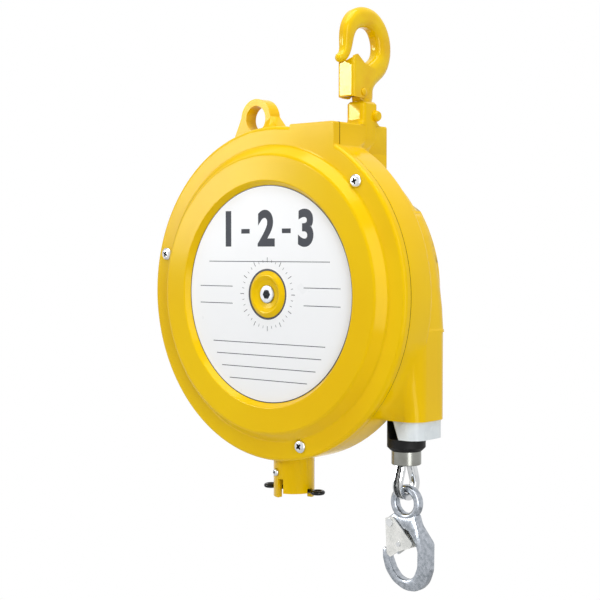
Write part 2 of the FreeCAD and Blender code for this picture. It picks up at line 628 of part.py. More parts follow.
def drum_cover():
    """Disc that keeps the spring in the drum."""
    wall_r = DRUM_R - DRUM_WALL
    y0 = DRUM_BACK - COVER_DISC_T
    disc = turned([(HUB_BORE_R, y0 - 2.6), (DRUM_HUB_R, y0 - 2.6, 0.8), (DRUM_HUB_R, y0), (wall_r + 4.0 - SEAT, y0),
                   (wall_r + 4.0 - SEAT, DRUM_BACK), (HUB_BORE_R, DRUM_BACK)])
    holes = [rod(1.6, polar(wall_r + 2.0, 30 + 360.0 / DRUM_SCREWS * k, y0 - 1),
                 polar(wall_r + 2.0, 30 + 360.0 / DRUM_SCREWS * k, DRUM_BACK + 1)) for k in range(DRUM_SCREWS)]
    return disc.cut(Part.makeCompound(holes))


def drum_cover_screws():
    at = DRUM_R - DRUM_WALL + 2.0
    screws = []
    for k in range(DRUM_SCREWS):
        seat = polar(at, 30 + 360.0 / DRUM_SCREWS * k, DRUM_BACK)
        screws.append(fuse(rod(2.2, seat, seat + Y_AXIS * 1.2), rod(1.25, seat, seat - Y_AXIS * 10)))
    return Part.makeCompound(screws)


def mainspring():
    """Flat spiral strip: half circles whose centres swap from side to side, growing with each half turn."""
    y0 = (DRUM_FRONT + WEB_T + DRUM_BACK - COVER_DISC_T - STRIP_W) / 2
    step = (STRIP_R1 - STRIP_R0) / (2 * STRIP_TURNS)
    inner = []
    outer = []
    start = STRIP_R0
    for k in range(2 * STRIP_TURNS):
        side = 1 if k % 2 == 0 else -1
        end = start + step
        radius = (start + end) / 2
        shift = side * (start - radius)
        for edges, grow in ((inner, 0.0), (outer, STRIP_T)):
            a = V(shift + side * (radius + grow), y0, 0)
            m = V(shift, y0, side * (radius + grow))
            b = V(shift - side * (radius + grow), y0, 0)
            edges.append(Part.Arc(a, m, b).toShape())
        start = end
    heads = [Part.makeLine(inner[0].firstVertex().Point, outer[0].firstVertex().Point),
             Part.makeLine(inner[-1].lastVertex().Point, outer[-1].lastVertex().Point)]
    wire = Part.Wire(Part.__sortEdges__(inner + outer + heads))
    strip = Part.Face(wire).extrude(V(0, STRIP_W, 0))
    hook = block(ARBOR_R - 3.2, STRIP_R0 + 0.5, y0, y0 + STRIP_W, 0.0, 0.9)
    return fuse(strip, hook)


def ratchet_wheel():
    """Toothed wheel that holds the tension of the spring."""
    y0 = RATCHET_Y
    points = []
    for k in range(RATCHET_TEETH):
        turn = 360.0 / RATCHET_TEETH * k
        tip = polar(RATCHET_R, turn)
        root = polar(RATCHET_R - TOOTH_H, turn)
        points.append((root.x, root.z))
        points.append((tip.x, tip.z))
    wheel = slab(points, on_xz(y0), V(0, RATCHET_T, 0))
    return wheel.cut(rod(SHAFT_R + FIT, V(0, y0 - 1, 0), V(0, y0 + RATCHET_T + 1, 0)))


def pawl_nose():
    """Foot and top of the pawl's end face, which stands just off the radial face of one tooth."""
    turn = 360.0 / RATCHET_TEETH * PAWL_TOOTH
    face = polar(1, turn)
    away = V(face.z, 0, -face.x) * GAP
    return face * (RATCHET_R - TOOTH_H + 0.7) + away, face * (RATCHET_R + 2.6) + away


def pawl_pin_at(y):
    """Centre of the pawl pin: square to the tooth face, so that the load runs along the pawl."""
    foot = pawl_nose()[0]
    face = polar(1, 360.0 / RATCHET_TEETH * PAWL_TOOTH)
    return foot + V(face.z, 0, -face.x) * PAWL_REACH + V(0, y, 0)


def pawl():
    foot, top = pawl_nose()
    pin = pawl_pin_at(0)
    along = (pin - foot).normalize()
    up = V(-along.z, 0, along.x)
    back_of_nose = polar(RATCHET_R + 0.6, 360.0 / RATCHET_TEETH * (PAWL_TOOTH - 1))
    corners = [foot, back_of_nose, pin - up * (PAWL_HUB_R - 0.5), pin + up * (PAWL_HUB_R - 0.5), top]
    arm = slab([(c.x, c.z) for c in corners], on_xz(RATCHET_Y), V(0, RATCHET_T, 0))
    hub = rod(PAWL_HUB_R, pawl_pin_at(RATCHET_Y), pawl_pin_at(RATCHET_Y + RATCHET_T))
    return fuse(arm, hub).cut(rod(PAWL_PIN_R + RUN, pawl_pin_at(0), pawl_pin_at(RATCHET_Y + RATCHET_T + 1)))


def pawl_pin():
    """Pin pressed into the cover, with a flat head that keeps the pawl on."""
    end = RATCHET_Y + RATCHET_T + GAP
    pin = rod(PAWL_PIN_R, pawl_pin_at(DIAL_T + COVER_WALL + 1.0), pawl_pin_at(end))
    return fuse(pin, rod(PAWL_PIN_R + 1.5, pawl_pin_at(end), pawl_pin_at(end + 1.2)))


def pawl_boss():
    """Boss on the inside of the cover that carries the pawl pin."""
    return rod(PAWL_HUB_R - 0.8, pawl_pin_at(DIAL_T + COVER_WALL - 1.0), pawl_pin_at(RATCHET_Y - GAP))


def pawl_spring():
    """Torsion spring round the boss, with a leg along the pawl and a leg on the cover."""
    y0 = DIAL_T + COVER_WALL + GAP
    y1 = RATCHET_Y - GAP
    coil = ring(PAWL_HUB_R + 2 * PAWL_SPRING_WIRE, PAWL_HUB_R - 0.8 + RUN, pawl_pin_at(y0), pawl_pin_at(y1))
    along = (pawl_nose()[1] - pawl_pin_at(0)).normalize()
    side = V(-along.z, 0, along.x) * (PAWL_HUB_R + 0.2)
    leg_y = y1 - 1.5 * PAWL_SPRING_WIRE
    leg_a = rod(PAWL_SPRING_WIRE, pawl_pin_at(leg_y) - side, pawl_pin_at(leg_y) - side + along * 15)
    leg_b = rod(PAWL_SPRING_WIRE, pawl_pin_at(y0 + 1) - side, pawl_pin_at(y0 + 1) - side - along * 12)
    return fuse(coil, leg_a, leg_b)


# ================================================================ rope and its end
def rope_coil():
    """Outer shape of the wound rope."""
    return turned([(ROPE_X - ROPE_R, COIL_Y0 + 0.1), (ROPE_X + ROPE_R, COIL_Y0 + 0.1),
                   (ROPE_X + ROPE_R, COIL_Y1 - 0.1), (ROPE_X - ROPE_R, COIL_Y1 - 0.1)])


def rope_run():
    """Straight rope from the drum down to the ferrule."""
    clear_of_coil = -math.sqrt((ROPE_X + ROPE_R) ** 2 - (ROPE_X - ROPE_R - GAP) ** 2) - 1.0
    return rod(ROPE_R, V(ROPE_X, ROPE_Y, BUMPER_END - ROPE_GRIP), V(ROPE_X, ROPE_Y, clear_of_coil))


def rope_nozzle():
    """Plastic mouthpiece: a plug in the outlet, a flange under it and a slot that the rope walks along."""
    flange = outlet(NOZZLE_INSET, TUBE_END, NOZZLE_END)
    plug = outlet(TUBE_WALL + SEAT, TUBE_END + NOZZLE_PLUG, TUBE_END)
    plug = plug.cut(block(TUBE_X0 - 1, TUBE_X0 + 4 + SEAT, 0, 80, TUBE_END, TUBE_END + NOZZLE_PLUG + 1))
    x_cut = ROPE_X - BUMPER_R + 3.0
    slant = slab([(0, TUBE_END + 0.01), (x_cut, TUBE_END + 0.01), (x_cut + NOZZLE_CUT, NOZZLE_END - 1),
                  (0, NOZZLE_END - 1)], on_xz(0), V(0, 80, 0))
    mouth = slab([(ROPE_X - MOUTH_R, ROPE_Y - MOUTH_R, MOUTH_R - 0.1), (ROPE_X + MOUTH_R, ROPE_Y - MOUTH_R, MOUTH_R - 0.1),
                  (ROPE_X + MOUTH_R, MOUTH_Y1, MOUTH_R - 0.1), (ROPE_X - MOUTH_R, MOUTH_Y1, MOUTH_R - 0.1)],
                 on_xy(NOZZLE_END - 1), V(0, 0, NOZZLE_H + NOZZLE_PLUG + 2))
    return fuse(flange, plug).cut(slant).cut(mouth)


def rubber_bumper():
    """Stop on the rope: a chamfered disc with a high wall on the side of the drum."""
    axis = V(ROPE_X, ROPE_Y, 0)
    disc = rod(BUMPER_R, axis + V(0, 0, BUMPER_END), axis + V(0, 0, BUMPER_TOP + BUMPER_WALL_H))
    low = [e for e in disc.Edges if e.BoundBox.ZMax < BUMPER_END + 0.01]
    disc = disc.makeChamfer(BUMPER_CHAMFER, low)
    x_cut = ROPE_X - BUMPER_R + 3.0
    away = slab([(x_cut - 0.6, BUMPER_TOP + BUMPER_WALL_H + 1), (x_cut + NOZZLE_CUT - GAP, BUMPER_TOP),
                 (ROPE_X + BUMPER_R + 1, BUMPER_TOP), (ROPE_X + BUMPER_R + 1, BUMPER_TOP + BUMPER_WALL_H + 1)],
                on_xz(0), V(0, 80, 0))
    disc = disc.cut(away)
    return disc.cut(rod(ROPE_R + FIT, axis + V(0, 0, BUMPER_END - 1), axis + V(0, 0, BUMPER_TOP + 1)))


def eye_legs():
    """Half of the rope eye's line: where the leg leaves the round end and where it enters the ferrule.

    The leg is tangent to the round end and meets the ferrule's face STRAND_Y from the rope's axis.
    """
    lean = math.atan2(LOOP_H, STRAND_Y) - math.acos(LOOP_HALF / math.hypot(LOOP_H, STRAND_Y))
    round_end = V(0, LOOP_HALF * math.cos(lean), LOOP_HALF * math.sin(lean))
    entry = V(0, STRAND_Y, LOOP_H)
    return round_end, entry


def eye_path(past_ferrule_face):
    """Line of the rope eye in the Y-Z plane; its legs end the given length above the ferrule's face."""
    round_end, entry = eye_legs()
    top = entry + (entry - round_end).normalize() * past_ferrule_face
    centre = V(ROPE_X, ROPE_Y, LOOP_Z)
    left_top, left_round = (centre + V(0, -p.y, p.z) for p in (top, round_end))
    return Part.Wire([Part.makeLine(left_top, left_round),
                      Part.Arc(left_round, centre - V(0, 0, LOOP_HALF), centre + round_end).toShape(),
                      Part.makeLine(centre + round_end, centre + top)])


def ferrule():
    """Pressed sleeve; the rope enters it from above and both legs of the rope eye from below."""
    axis = V(ROPE_X, ROPE_Y, 0)
    sleeve = rod(FERRULE_R, axis + V(0, 0, FERRULE_END), axis + V(0, 0, BUMPER_END))
    ends = [e for e in sleeve.Edges if len(e.Vertexes) == 1]
    sleeve = sleeve.makeChamfer(0.5, ends)
    bores = [rod(ROPE_R + FIT, axis + V(0, 0, BUMPER_END - ROPE_GRIP), axis + V(0, 0, BUMPER_END + 1))]
    round_end, entry = eye_legs()
    way = (entry - round_end).normalize()
    for side in (-1, 1):
        start = entry - way * 4
        end = entry + way * ROPE_GRIP
        centre = V(ROPE_X, ROPE_Y, LOOP_Z)
        bores.append(rod(ROPE_R + FIT, centre + V(0, side * start.y, start.z), centre + V(0, side * end.y, end.z)))
    return sleeve.cut(Part.makeCompound(bores))


def rope_eye():
    path = eye_path(ROPE_GRIP)
    start = path.Vertexes[0].Point
    way = path.Edges[0].tangentAt(path.Edges[0].FirstParameter)
    circle = Part.Wire([Part.makeCircle(ROPE_R, start, way)])
    return path.makePipeShell([circle], True, True)


def thimble():
    """Bent gutter inside the rope eye, which takes the wear of the snap hook."""
    path = eye_path(-THIMBLE_SHORT)
    start = path.Vertexes[0].Point
    way = path.Edges[0].tangentAt(path.Edges[0].FirstParameter)
    inward = way.cross(X_AXIS)
    lip = ROPE_R + THIMBLE_LIP
    bed = ROPE_R + 0.1
    crown = bed + THIMBLE_T
    gutter = rounded([(-lip, -0.5), (-0.6 * lip, crown, 1.6), (0.6 * lip, crown, 1.6), (lip, -0.5),
                      (lip - THIMBLE_T, -0.9), (0.45 * lip, bed, 0.9), (-0.45 * lip, bed, 0.9),
                      (-lip + THIMBLE_T, -0.9)], lambda a, b: start + X_AXIS * a + inward * b)
    return path.makePipeShell([gutter], True, True)


def bevelled(stations, place, across, bevel):
    """Bar of flat-faced sections with bevelled corners along a line, like a drop forging."""
    wires = []
    for i, (a, b, wide, thick) in enumerate(stations):
        first = stations[max(i - 1, 0)]
        last = stations[min(i + 1, len(stations) - 1)]
        heading = (place(last[0], last[1]) - place(first[0], first[1])).normalize()
        side = heading.cross(across).normalize()
        flat_w = wide - bevel
        flat_t = thick - bevel
        round_trip = ((flat_w, -thick), (wide, -flat_t), (wide, flat_t), (flat_w, thick),
                      (-flat_w, thick), (-wide, flat_t), (-wide, -flat_t), (-flat_w, -thick))
        corners = [place(a, b) + side * w + across * t for w, t in round_trip]
        wires.append(Part.makePolygon(corners + [corners[0]]))
    return Part.makeLoft(wires, True, False)


def snap_at(x, z, y=ROPE_Y):
    """Point of the snap hook, measured from the centre of its eye."""
    return V(EYE_X + x, y, EYE_Z + z)


def snap_body():
    """Drop-forged snap hook: round eye, cheeked shoulder, straight back, bowl and nose."""
    half = SNAP_T / 2
    arm = bevelled([
        (0.6, -9.5, 5.5, half), (5.4, -14.5, 5.8, half), (10.8, -20.3, 5.4, half), (14.2, -28.0, 5.0, half),
        (14.6, -38.0, 4.8, half), (12.2, -47.4, 4.7, half), (5.0, -54.6, 4.5, half), (-4.2, -56.0, 4.3, half),
        (-11.8, -51.8, 3.9, half), (-15.4, -44.0, 3.2, half - 0.2), (-15.9, -34.6, 2.2, half - 0.5)],
        lambda x, z: snap_at(x, z), Y_AXIS, SNAP_BEVEL)
    eye = Part.Face(rounded([(EYE_HOLE_R, -half + 0.4, 1.4), (EYE_R, -half + 0.4, 1.8),
                             (EYE_R, half - 0.4, 1.8), (EYE_HOLE_R, half - 0.4, 1.4)], half_plane))
    eye = eye.revolve(V(), Y_AXIS, 360)
    eye.translate(snap_at(0, 0))
    pin = gate_pin_at()
    shoulder = slab([(pin.x - EYE_X - GATE_LUG_R + 0.4, pin.z - EYE_Z), (-EYE_R + 2.6, -6.5, 2.0), (4.0, -9.6), (12.0, -24.0),
                     (pin.x - EYE_X + 13.5, pin.z - EYE_Z - 4.2, 3.0), (pin.x - EYE_X, pin.z - EYE_Z - GATE_LUG_R + 0.4)],
                    lambda x, z: snap_at(x, z, ROPE_Y - half + 0.5), Y_AXIS * (SNAP_T - 1.0))
    gate_lug = rod(GATE_LUG_R, pin - Y_AXIS * (half - 0.5), pin + Y_AXIS * (half - 0.5))
    hook = fuse(arm, eye, shoulder, gate_lug)
    return hook.cut(rod(GATE_PIN_R + FIT, pin - Y_AXIS * SNAP_T, pin + Y_AXIS * SNAP_T))


def gate_pin_at():
    return snap_at(GATE_PIN_X, GATE_PIN_Z)


def gate_cheek(y):
    """Side plate of the gate; its corners are measured from the gate pin."""
    pin = gate_pin_at()
    outline = [(-3.6, 2.6, 1.5), (2.4, 4.2, 2.0), (18.9, -11.8, 1.6), (16.6, -15.4, 2.0), (7.2, -18.6, 2.0),
               (0.6, -23.4, 1.2), (-2.4, -21.4, 1.2)]
    return slab([(pin.x + x, pin.z + z) + tuple(r) for x, z, *r in outline], on_xz(y), V(0, GATE_T, 0))


def snap_gate():
    """Folded gate: two cheeks astride the hook and a web that closes the mouth behind the nose."""
    pin = gate_pin_at()
    inner = SNAP_T / 2 + GAP
    near = gate_cheek(ROPE_Y - inner - GATE_T)
    far = gate_cheek(ROPE_Y + inner)
    x0 = pin.x - 2.2
    web = block(x0, x0 + GATE_T, ROPE_Y - inner - 0.1, ROPE_Y + inner + 0.1, pin.z - 21.0, pin.z - GATE_LUG_R - 1.2)
    gate = fuse(near, far, web)
    reach = Y_AXIS * SNAP_T
    stop = stop_pin_at()
    holes = [rod(GATE_PIN_R + RUN, pin - reach, pin + reach), rod(STOP_PIN_R + FIT, stop - reach, stop + reach)]
    return gate.cut(Part.makeCompound(holes))


def stop_pin_at():
    """Cross pin between the cheeks, which the gate spring pushes on."""
    return gate_pin_at() + V(7.4, 0, -13.7)


def riveted_pin(radius, head_radius, at, half_grip):
    """Pin with a low head on each end."""
    reach = Y_AXIS * half_grip
    heads = [rod(head_radius, at - reach, at - reach - Y_AXIS * RIVET_HEAD_T),
             rod(head_radius, at + reach, at + reach + Y_AXIS * RIVET_HEAD_T)]
    return fuse(rod(radius, at - reach, at + reach), *heads)


def gate_rivet():
    return riveted_pin(GATE_PIN_R, GATE_PIN_R + 0.9, gate_pin_at(), SNAP_T / 2 + GAP + GATE_T)


def gate_stop_pin():
    return riveted_pin(STOP_PIN_R, STOP_PIN_R + 0.5, stop_pin_at(), SNAP_T / 2 + GAP + GATE_T)


def gate_spring():
    """Torsion spring coil on the gate rivet, in front of the lug."""
    pin = gate_pin_at()
    near = SNAP_T / 2 + 0.1
    return ring(GATE_PIN_R + 0.8, GATE_PIN_R + RUN, pin - Y_AXIS * near, pin - Y_AXIS * (near - 0.5))


# ================================================================ top hook
def top_hook():
    """Forged hook with a round shank that turns in the neck."""
    y = NECK_Y
    z = SEAT_Z
    bowl = forged([
        (y, NECK_TOP + GAP, 6.3, 6.0), (y, z - 46.0, 8.2, HOOK_T), (y + 0.6, z - 39.5, 8.4, HOOK_T),
        (y + 6.6, z - 31.6, 8.0, HOOK_T), (y + 16.6, z - 24.0, 7.7, HOOK_T + 0.2),
        (y + 20.6, z - 13.0, 7.5, HOOK_T + 0.2), (y + 17.4, z - 1.6, 7.2, HOOK_T + 0.2),
        (y + 9.6, z + 5.4, 7.0, HOOK_T + 0.1), (y, z + 7.0, 7.0, HOOK_T), (y - 9.4, z + 4.4, 6.6, HOOK_T - 0.4),
        (y - 15.8, z - 3.0, 5.6, HOOK_T - 0.9), (y - 17.8, z - 12.5, 4.4, HOOK_T - 1.4),
        (y - 19.6, z - 19.0, 3.6, HOOK_T - 1.9), (y - 24.2, z - 22.6, 3.0, HOOK_T - 2.4)], on_yz(NECK_X), X_AXIS)
    shank_axis = V(NECK_X, NECK_Y, 0)
    shank = rod(SHANK_R - RUN, shank_axis + V(0, 0, SHANK_FOOT), shank_axis + V(0, 0, NECK_TOP + 2.0))
    groove = ring(SHANK_R + 1, PIN_OFFSET - PIN_R - RUN, shank_axis + V(0, 0, PIN_Z - GROOVE_H / 2),
                  shank_axis + V(0, 0, PIN_Z + GROOVE_H / 2))
    lip = Part.makeSphere(HOOK_T - 2.3, V(NECK_X, y - 24.4, z - 22.7))
    hook = fuse(bowl, shank.cut(groove), lip)
    return hook.cut(rod(RIVET_R + FIT, V(NECK_X - 20, RIVET_Y, RIVET_Z), V(NECK_X + 20, RIVET_Y, RIVET_Z)))


def latch_profile():
    """Side view of the latch; its corners are measured from the rivet."""
    corners = [(-LATCH_REACH, -3.2, 0.8), (-LATCH_REACH, 23.4, 1.6), (-6.6, 25.2, 1.6), (1.6, 19.4, 3.0),
               (14.4, 16.2, 2.0), (8.6, 6.2, 3.0), (1.6, -4.0, 3.0), (-5.0, -4.0, 1.5)]
    return [(RIVET_Y + y, RIVET_Z + z, radius) for y, z, radius in corners]


def hook_latch():
    """Folded latch: a channel with soft folds, trimmed to its side view, with a slanted top on the web."""
    x0 = NECK_X - LATCH_WIDE / 2
    x1 = x0 + LATCH_WIDE
    back = RIVET_Y + 20.0
    inner = WEB_Y + LATCH_T
    channel = slab([(x0, WEB_Y, LATCH_FOLD), (x1, WEB_Y, LATCH_FOLD), (x1, back), (x1 - LATCH_T, back),
                    (x1 - LATCH_T, inner, LATCH_FOLD - LATCH_T), (x0 + LATCH_T, inner, LATCH_FOLD - LATCH_T),
                    (x0 + LATCH_T, back), (x0, back)], on_xy(RIVET_Z - 10), Z_AXIS * 50)
    latch = channel.common(slab(latch_profile(), on_yz(x0 - 1), X_AXIS * (LATCH_WIDE + 2)))
    web_top = slab([(x0 + LATCH_T, RIVET_Z + 18.6), (x1 - LATCH_T, RIVET_Z + 22.6),
                    (x1 - LATCH_T, RIVET_Z + 40), (x0 + LATCH_T, RIVET_Z + 40)], on_xz(WEB_Y - 1), Y_AXIS * 5)
    hole = rod(RIVET_R + RUN, V(x0 - 1, RIVET_Y, RIVET_Z), V(x1 + 1, RIVET_Y, RIVET_Z))
    return latch.cut(web_top).cut(hole)


def latch_rivet():
    half = LATCH_WIDE / 2 + 0.2
    a = V(NECK_X - half, RIVET_Y, RIVET_Z)
    b = V(NECK_X + half, RIVET_Y, RIVET_Z)
    heads = [rod(RIVET_R + 1.3, a, a - X_AXIS * 1.3), rod(RIVET_R + 1.3, b, b + X_AXIS * 1.3)]
    return fuse(rod(RIVET_R, a, b), *heads)


def latch_spring():
    """Torsion coil between the web of the latch and the shank."""
    y = WEB_Y + LATCH_T + GAP + LATCH_COIL_R
    half = LATCH_WIDE / 2 - LATCH_T - 1.0
    z = RIVET_Z - 0.4
    return ring(LATCH_COIL_R, LATCH_COIL_R - 0.8, V(NECK_X - half, y, z), V(NECK_X + half, y, z))


# ================================================================ drum lock
def lock_plunger():
    axis = V(LOCK_X, LOCK_Y, 0)
    pin = rod(PLUNGER_R, axis + V(0, 0, PLUNGER_FOOT), axis + V(0, 0, PLUNGER_TIP))
    tip = [e for e in pin.Edges if e.BoundBox.ZMin > PLUNGER_TIP - 0.01]
    pin = pin.makeChamfer(1.0, tip)
    collar = rod(COLLAR_R, axis + V(0, 0, COLLAR_END), axis + V(0, 0, COLLAR_END + COLLAR_T))
    hole = rod(HANDLE_R + FIT, axis + V(-20, 0, HANDLE_Z), axis + V(20, 0, HANDLE_Z))
    return fuse(pin, collar).cut(hole)


def lock_handle():
    """Cross bar through the plunger with a closed loop at each end."""
    axis = V(LOCK_X, LOCK_Y, HANDLE_Z)
    reach = EAR_REACH - EAR_R * 2 - HANDLE_R
    bar = rod(HANDLE_R, axis - X_AXIS * reach, axis + X_AXIS * reach)
    ears = [Part.makeTorus(EAR_R, HANDLE_R, axis + X_AXIS * (side * (EAR_REACH - EAR_R - HANDLE_R)), Z_AXIS)
            for side in (-1, 1)]
    return fuse(bar, *ears)


def lock_spring():
    return ring(8.2, 5.2, V(LOCK_X, LOCK_Y, LOCK_BUSH_TOP), V(LOCK_X, LOCK_Y, COLLAR_END))


def lock_bush():
    """Plug in the lock tube that guides the plunger and carries its spring."""
    axis = V(LOCK_X, LOCK_Y, 0)
    plug = ring(LOCK_TUBE_BORE - FIT, PLUNGER_R + RUN, axis + V(0, 0, LOCK_BUSH_TOP - LOCK_BUSH_T),
                axis + V(0, 0, LOCK_BUSH_TOP))
    return plug.cut(rod(1.5 + FIT, axis + V(0, 0, SET_SCREW_Z), axis + V(0, 0, SET_SCREW_Z) + set_screw_way() * 20))


def set_screw():
    seat = V(LOCK_X, LOCK_Y, SET_SCREW_Z) + set_screw_way() * (LOCK_TUBE_R + 0.02)
    return pan_screw(1.5, 2.8, 1.9, 8.0, seat, -set_screw_way())


NODES = {
    "front_cover": front_cover,
    "main_case": main_case,
    "dial_plate": dial_plate,
    "cover_screws": cover_screws,
    "neck_pin": neck_pin,
    "main_shaft": main_shaft,
    "shaft_nut": shaft_nut,
    "spring_arbor": spring_arbor,
    "shaft_washer": shaft_washer,
    "shaft_clip": shaft_clip,
    "ratchet_wheel": ratchet_wheel,
    "pawl": pawl,
    "pawl_pin": pawl_pin,
    "pawl_spring": pawl_spring,
    "drum": drum,
    "drum_cover": drum_cover,
    "drum_cover_screws": drum_cover_screws,
    "drum_bushes": drum_bushes,
    "mainspring": mainspring,
    "rope_coil": rope_coil,
    "rope_anchor": rope_anchor,
    "rope_run": rope_run,
    "rope_nozzle": rope_nozzle,
    "rubber_bumper": rubber_bumper,
    "ferrule": ferrule,
    "rope_eye": rope_eye,
    "thimble": thimble,
    "snap_body": snap_body,
    "snap_gate": snap_gate,
    "gate_rivet": gate_rivet,
    "gate_stop_pin": gate_stop_pin,
    "gate_spring": gate_spring,
    "top_hook": top_hook,
    "hook_latch": hook_latch,
    "latch_rivet": latch_rivet,
    "latch_spring": latch_spring,
    "lock_plunger": lock_plunger,
    "lock_handle": lock_handle,
    "lock_spring": lock_spring,
    "lock_bush": lock_bush,
    "set_screw": set_screw,
}


def write_all():
    os.makedirs("parts", exist_ok=True)
    for name, make in NODES.items():
        shape = make()
        shape.translate(-HOOK_SEAT)
        shape.exportStep("parts/" + name + ".step")
        print(name, "valid" if shape.isValid() else "INVALID", len(shape.Solids), round(shape.Volume, 1))


if __name__ == "__main__":
    write_all()
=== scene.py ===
"""Looks of a spring tool balancer: an enamelled round case that hangs on a safety hook and holds a tool on a
wire rope.

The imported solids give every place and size. This script gives them their finishes, and makes the fine
pieces that are not in the solids: stranded rope, wound springs, screw heads, and the printing on the dial.
"""
import json
import logging
import math
from dataclasses import dataclass
from enum import Enum

import bmesh
import bpy
from mathutils import Matrix, Vector


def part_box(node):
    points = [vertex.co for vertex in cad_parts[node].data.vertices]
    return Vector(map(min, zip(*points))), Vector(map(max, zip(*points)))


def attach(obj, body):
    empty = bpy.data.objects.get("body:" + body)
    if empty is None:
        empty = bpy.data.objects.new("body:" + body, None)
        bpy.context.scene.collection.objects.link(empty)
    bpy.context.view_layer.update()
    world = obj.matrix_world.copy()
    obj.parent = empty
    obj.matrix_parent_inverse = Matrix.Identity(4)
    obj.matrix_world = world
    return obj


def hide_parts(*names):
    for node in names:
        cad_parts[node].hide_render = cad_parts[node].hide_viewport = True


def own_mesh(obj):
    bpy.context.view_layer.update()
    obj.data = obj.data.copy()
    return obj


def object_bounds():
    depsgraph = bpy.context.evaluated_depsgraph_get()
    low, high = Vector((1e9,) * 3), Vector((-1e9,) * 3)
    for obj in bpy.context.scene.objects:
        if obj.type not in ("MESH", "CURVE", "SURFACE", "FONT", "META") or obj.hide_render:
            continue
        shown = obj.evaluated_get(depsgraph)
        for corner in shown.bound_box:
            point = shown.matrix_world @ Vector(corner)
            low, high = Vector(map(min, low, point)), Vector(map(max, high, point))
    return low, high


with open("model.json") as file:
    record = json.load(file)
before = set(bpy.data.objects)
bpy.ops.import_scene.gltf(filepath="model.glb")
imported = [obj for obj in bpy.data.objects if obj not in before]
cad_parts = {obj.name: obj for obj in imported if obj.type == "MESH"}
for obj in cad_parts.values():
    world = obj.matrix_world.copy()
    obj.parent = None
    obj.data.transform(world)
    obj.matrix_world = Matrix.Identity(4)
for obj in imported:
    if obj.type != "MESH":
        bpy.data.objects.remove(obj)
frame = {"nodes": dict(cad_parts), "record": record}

log = logging.getLogger("balancer")
CAD_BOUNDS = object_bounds()
MM = 0.001
CRISP = 28.0  # degrees; edges sharper than this stay crisp


# ---------------------------------------------------------------- small tools
def linear(hex_colour: str) -> tuple[float, float, float, float]:
    """Turn an sRGB hex colour into linear RGBA.

    Args:
        hex_colour: Six hex digits after a hash sign.

    Returns:
        Linear red, green and blue with an alpha of 1.
    """
    digits = hex_colour.lstrip("#")
    parts = [int(digits[i:i + 2], 16) / 255 for i in (0, 2, 4)]
    red, green, blue = (c / 12.92 if c <= 0.04045 else ((c + 0.055) / 1.055) ** 2.4 for c in parts)
    return red, green, blue, 1.0


def add_node(tree: bpy.types.NodeTree, kind: str, settings: dict | None = None,
             links: dict | None = None) -> bpy.types.Node:
    """Add one shader node with its settings and its incoming links.

    Args:
        tree: Node tree that gets the node.
        kind: Blender's name of the node type, without "ShaderNode".
        settings: Attribute or socket names with their values; a socket wins over an attribute.
        links: Socket names with the output sockets that feed them.

    Returns:
        The new node.
    """
    node = tree.nodes.new("ShaderNode" + kind)
    for name, value in (settings or {}).items():
        if name in node.inputs:
            node.inputs[name].default_value = value
        else:
            setattr(node, name, value)
    for name, source in (links or {}).items():
        tree.links.new(source, node.inputs[name])
    return node


@dataclass(frozen=True)
class CasePlace:
    """Where the case lies: its origin is the centre of the dial's face, X right, Y inwards, Z up."""

    origin: Vector

    @classmethod
    def from_dial(cls) -> "CasePlace":
        """Read the place from the dial plate's box."""
        low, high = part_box("dial_plate")
        return cls(Vector(((low.x + high.x) / 2, low.y, (low.z + high.z) / 2)))

    def at(self, x: float, y: float, z: float) -> Vector:
        """Return the point x, y, z millimetres from the dial's centre, in metres in the row frame."""
        return self.origin + Vector((x, y, z)) * MM

    def polar(self, radius: float, degrees: float, y: float) -> Vector:
        """Return a point on a circle round the drum's axis; 0 degrees is +X and 90 degrees is up."""
        angle = math.radians(degrees)
        return self.at(radius * math.cos(angle), y, radius * math.sin(angle))


PLACE = CasePlace.from_dial()


def centre_of(node: str) -> Vector:
    """Return the middle of a solid's box, in metres."""
    low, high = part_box(node)
    return (low + high) / 2


# ---------------------------------------------------------------- finishes
COAT_ROUGHNESS = 0.12
SHADE_BELOW = 0.35      # noise level under which the surface has its shade
COLOUR_ABOVE = 0.62     # noise level over which it has its clean colour
SMEARS = 2.5            # smears of gloss in one patch of colour
RELIEF_STRENGTH = 0.6
LATHE_DRAW = 0.05       # how far turning draws the relief out round the axis
ROLL_DRAW = 0.08        # how far rolling draws it out along the sheet


class Grain(Enum):
    """How a surface was made, which decides the shape of its fine relief."""

    SPRAYED = "sprayed"
    MOULDED = "moulded"
    FORGED = "forged"
    TURNED = "turned"
    ROLLED = "rolled"


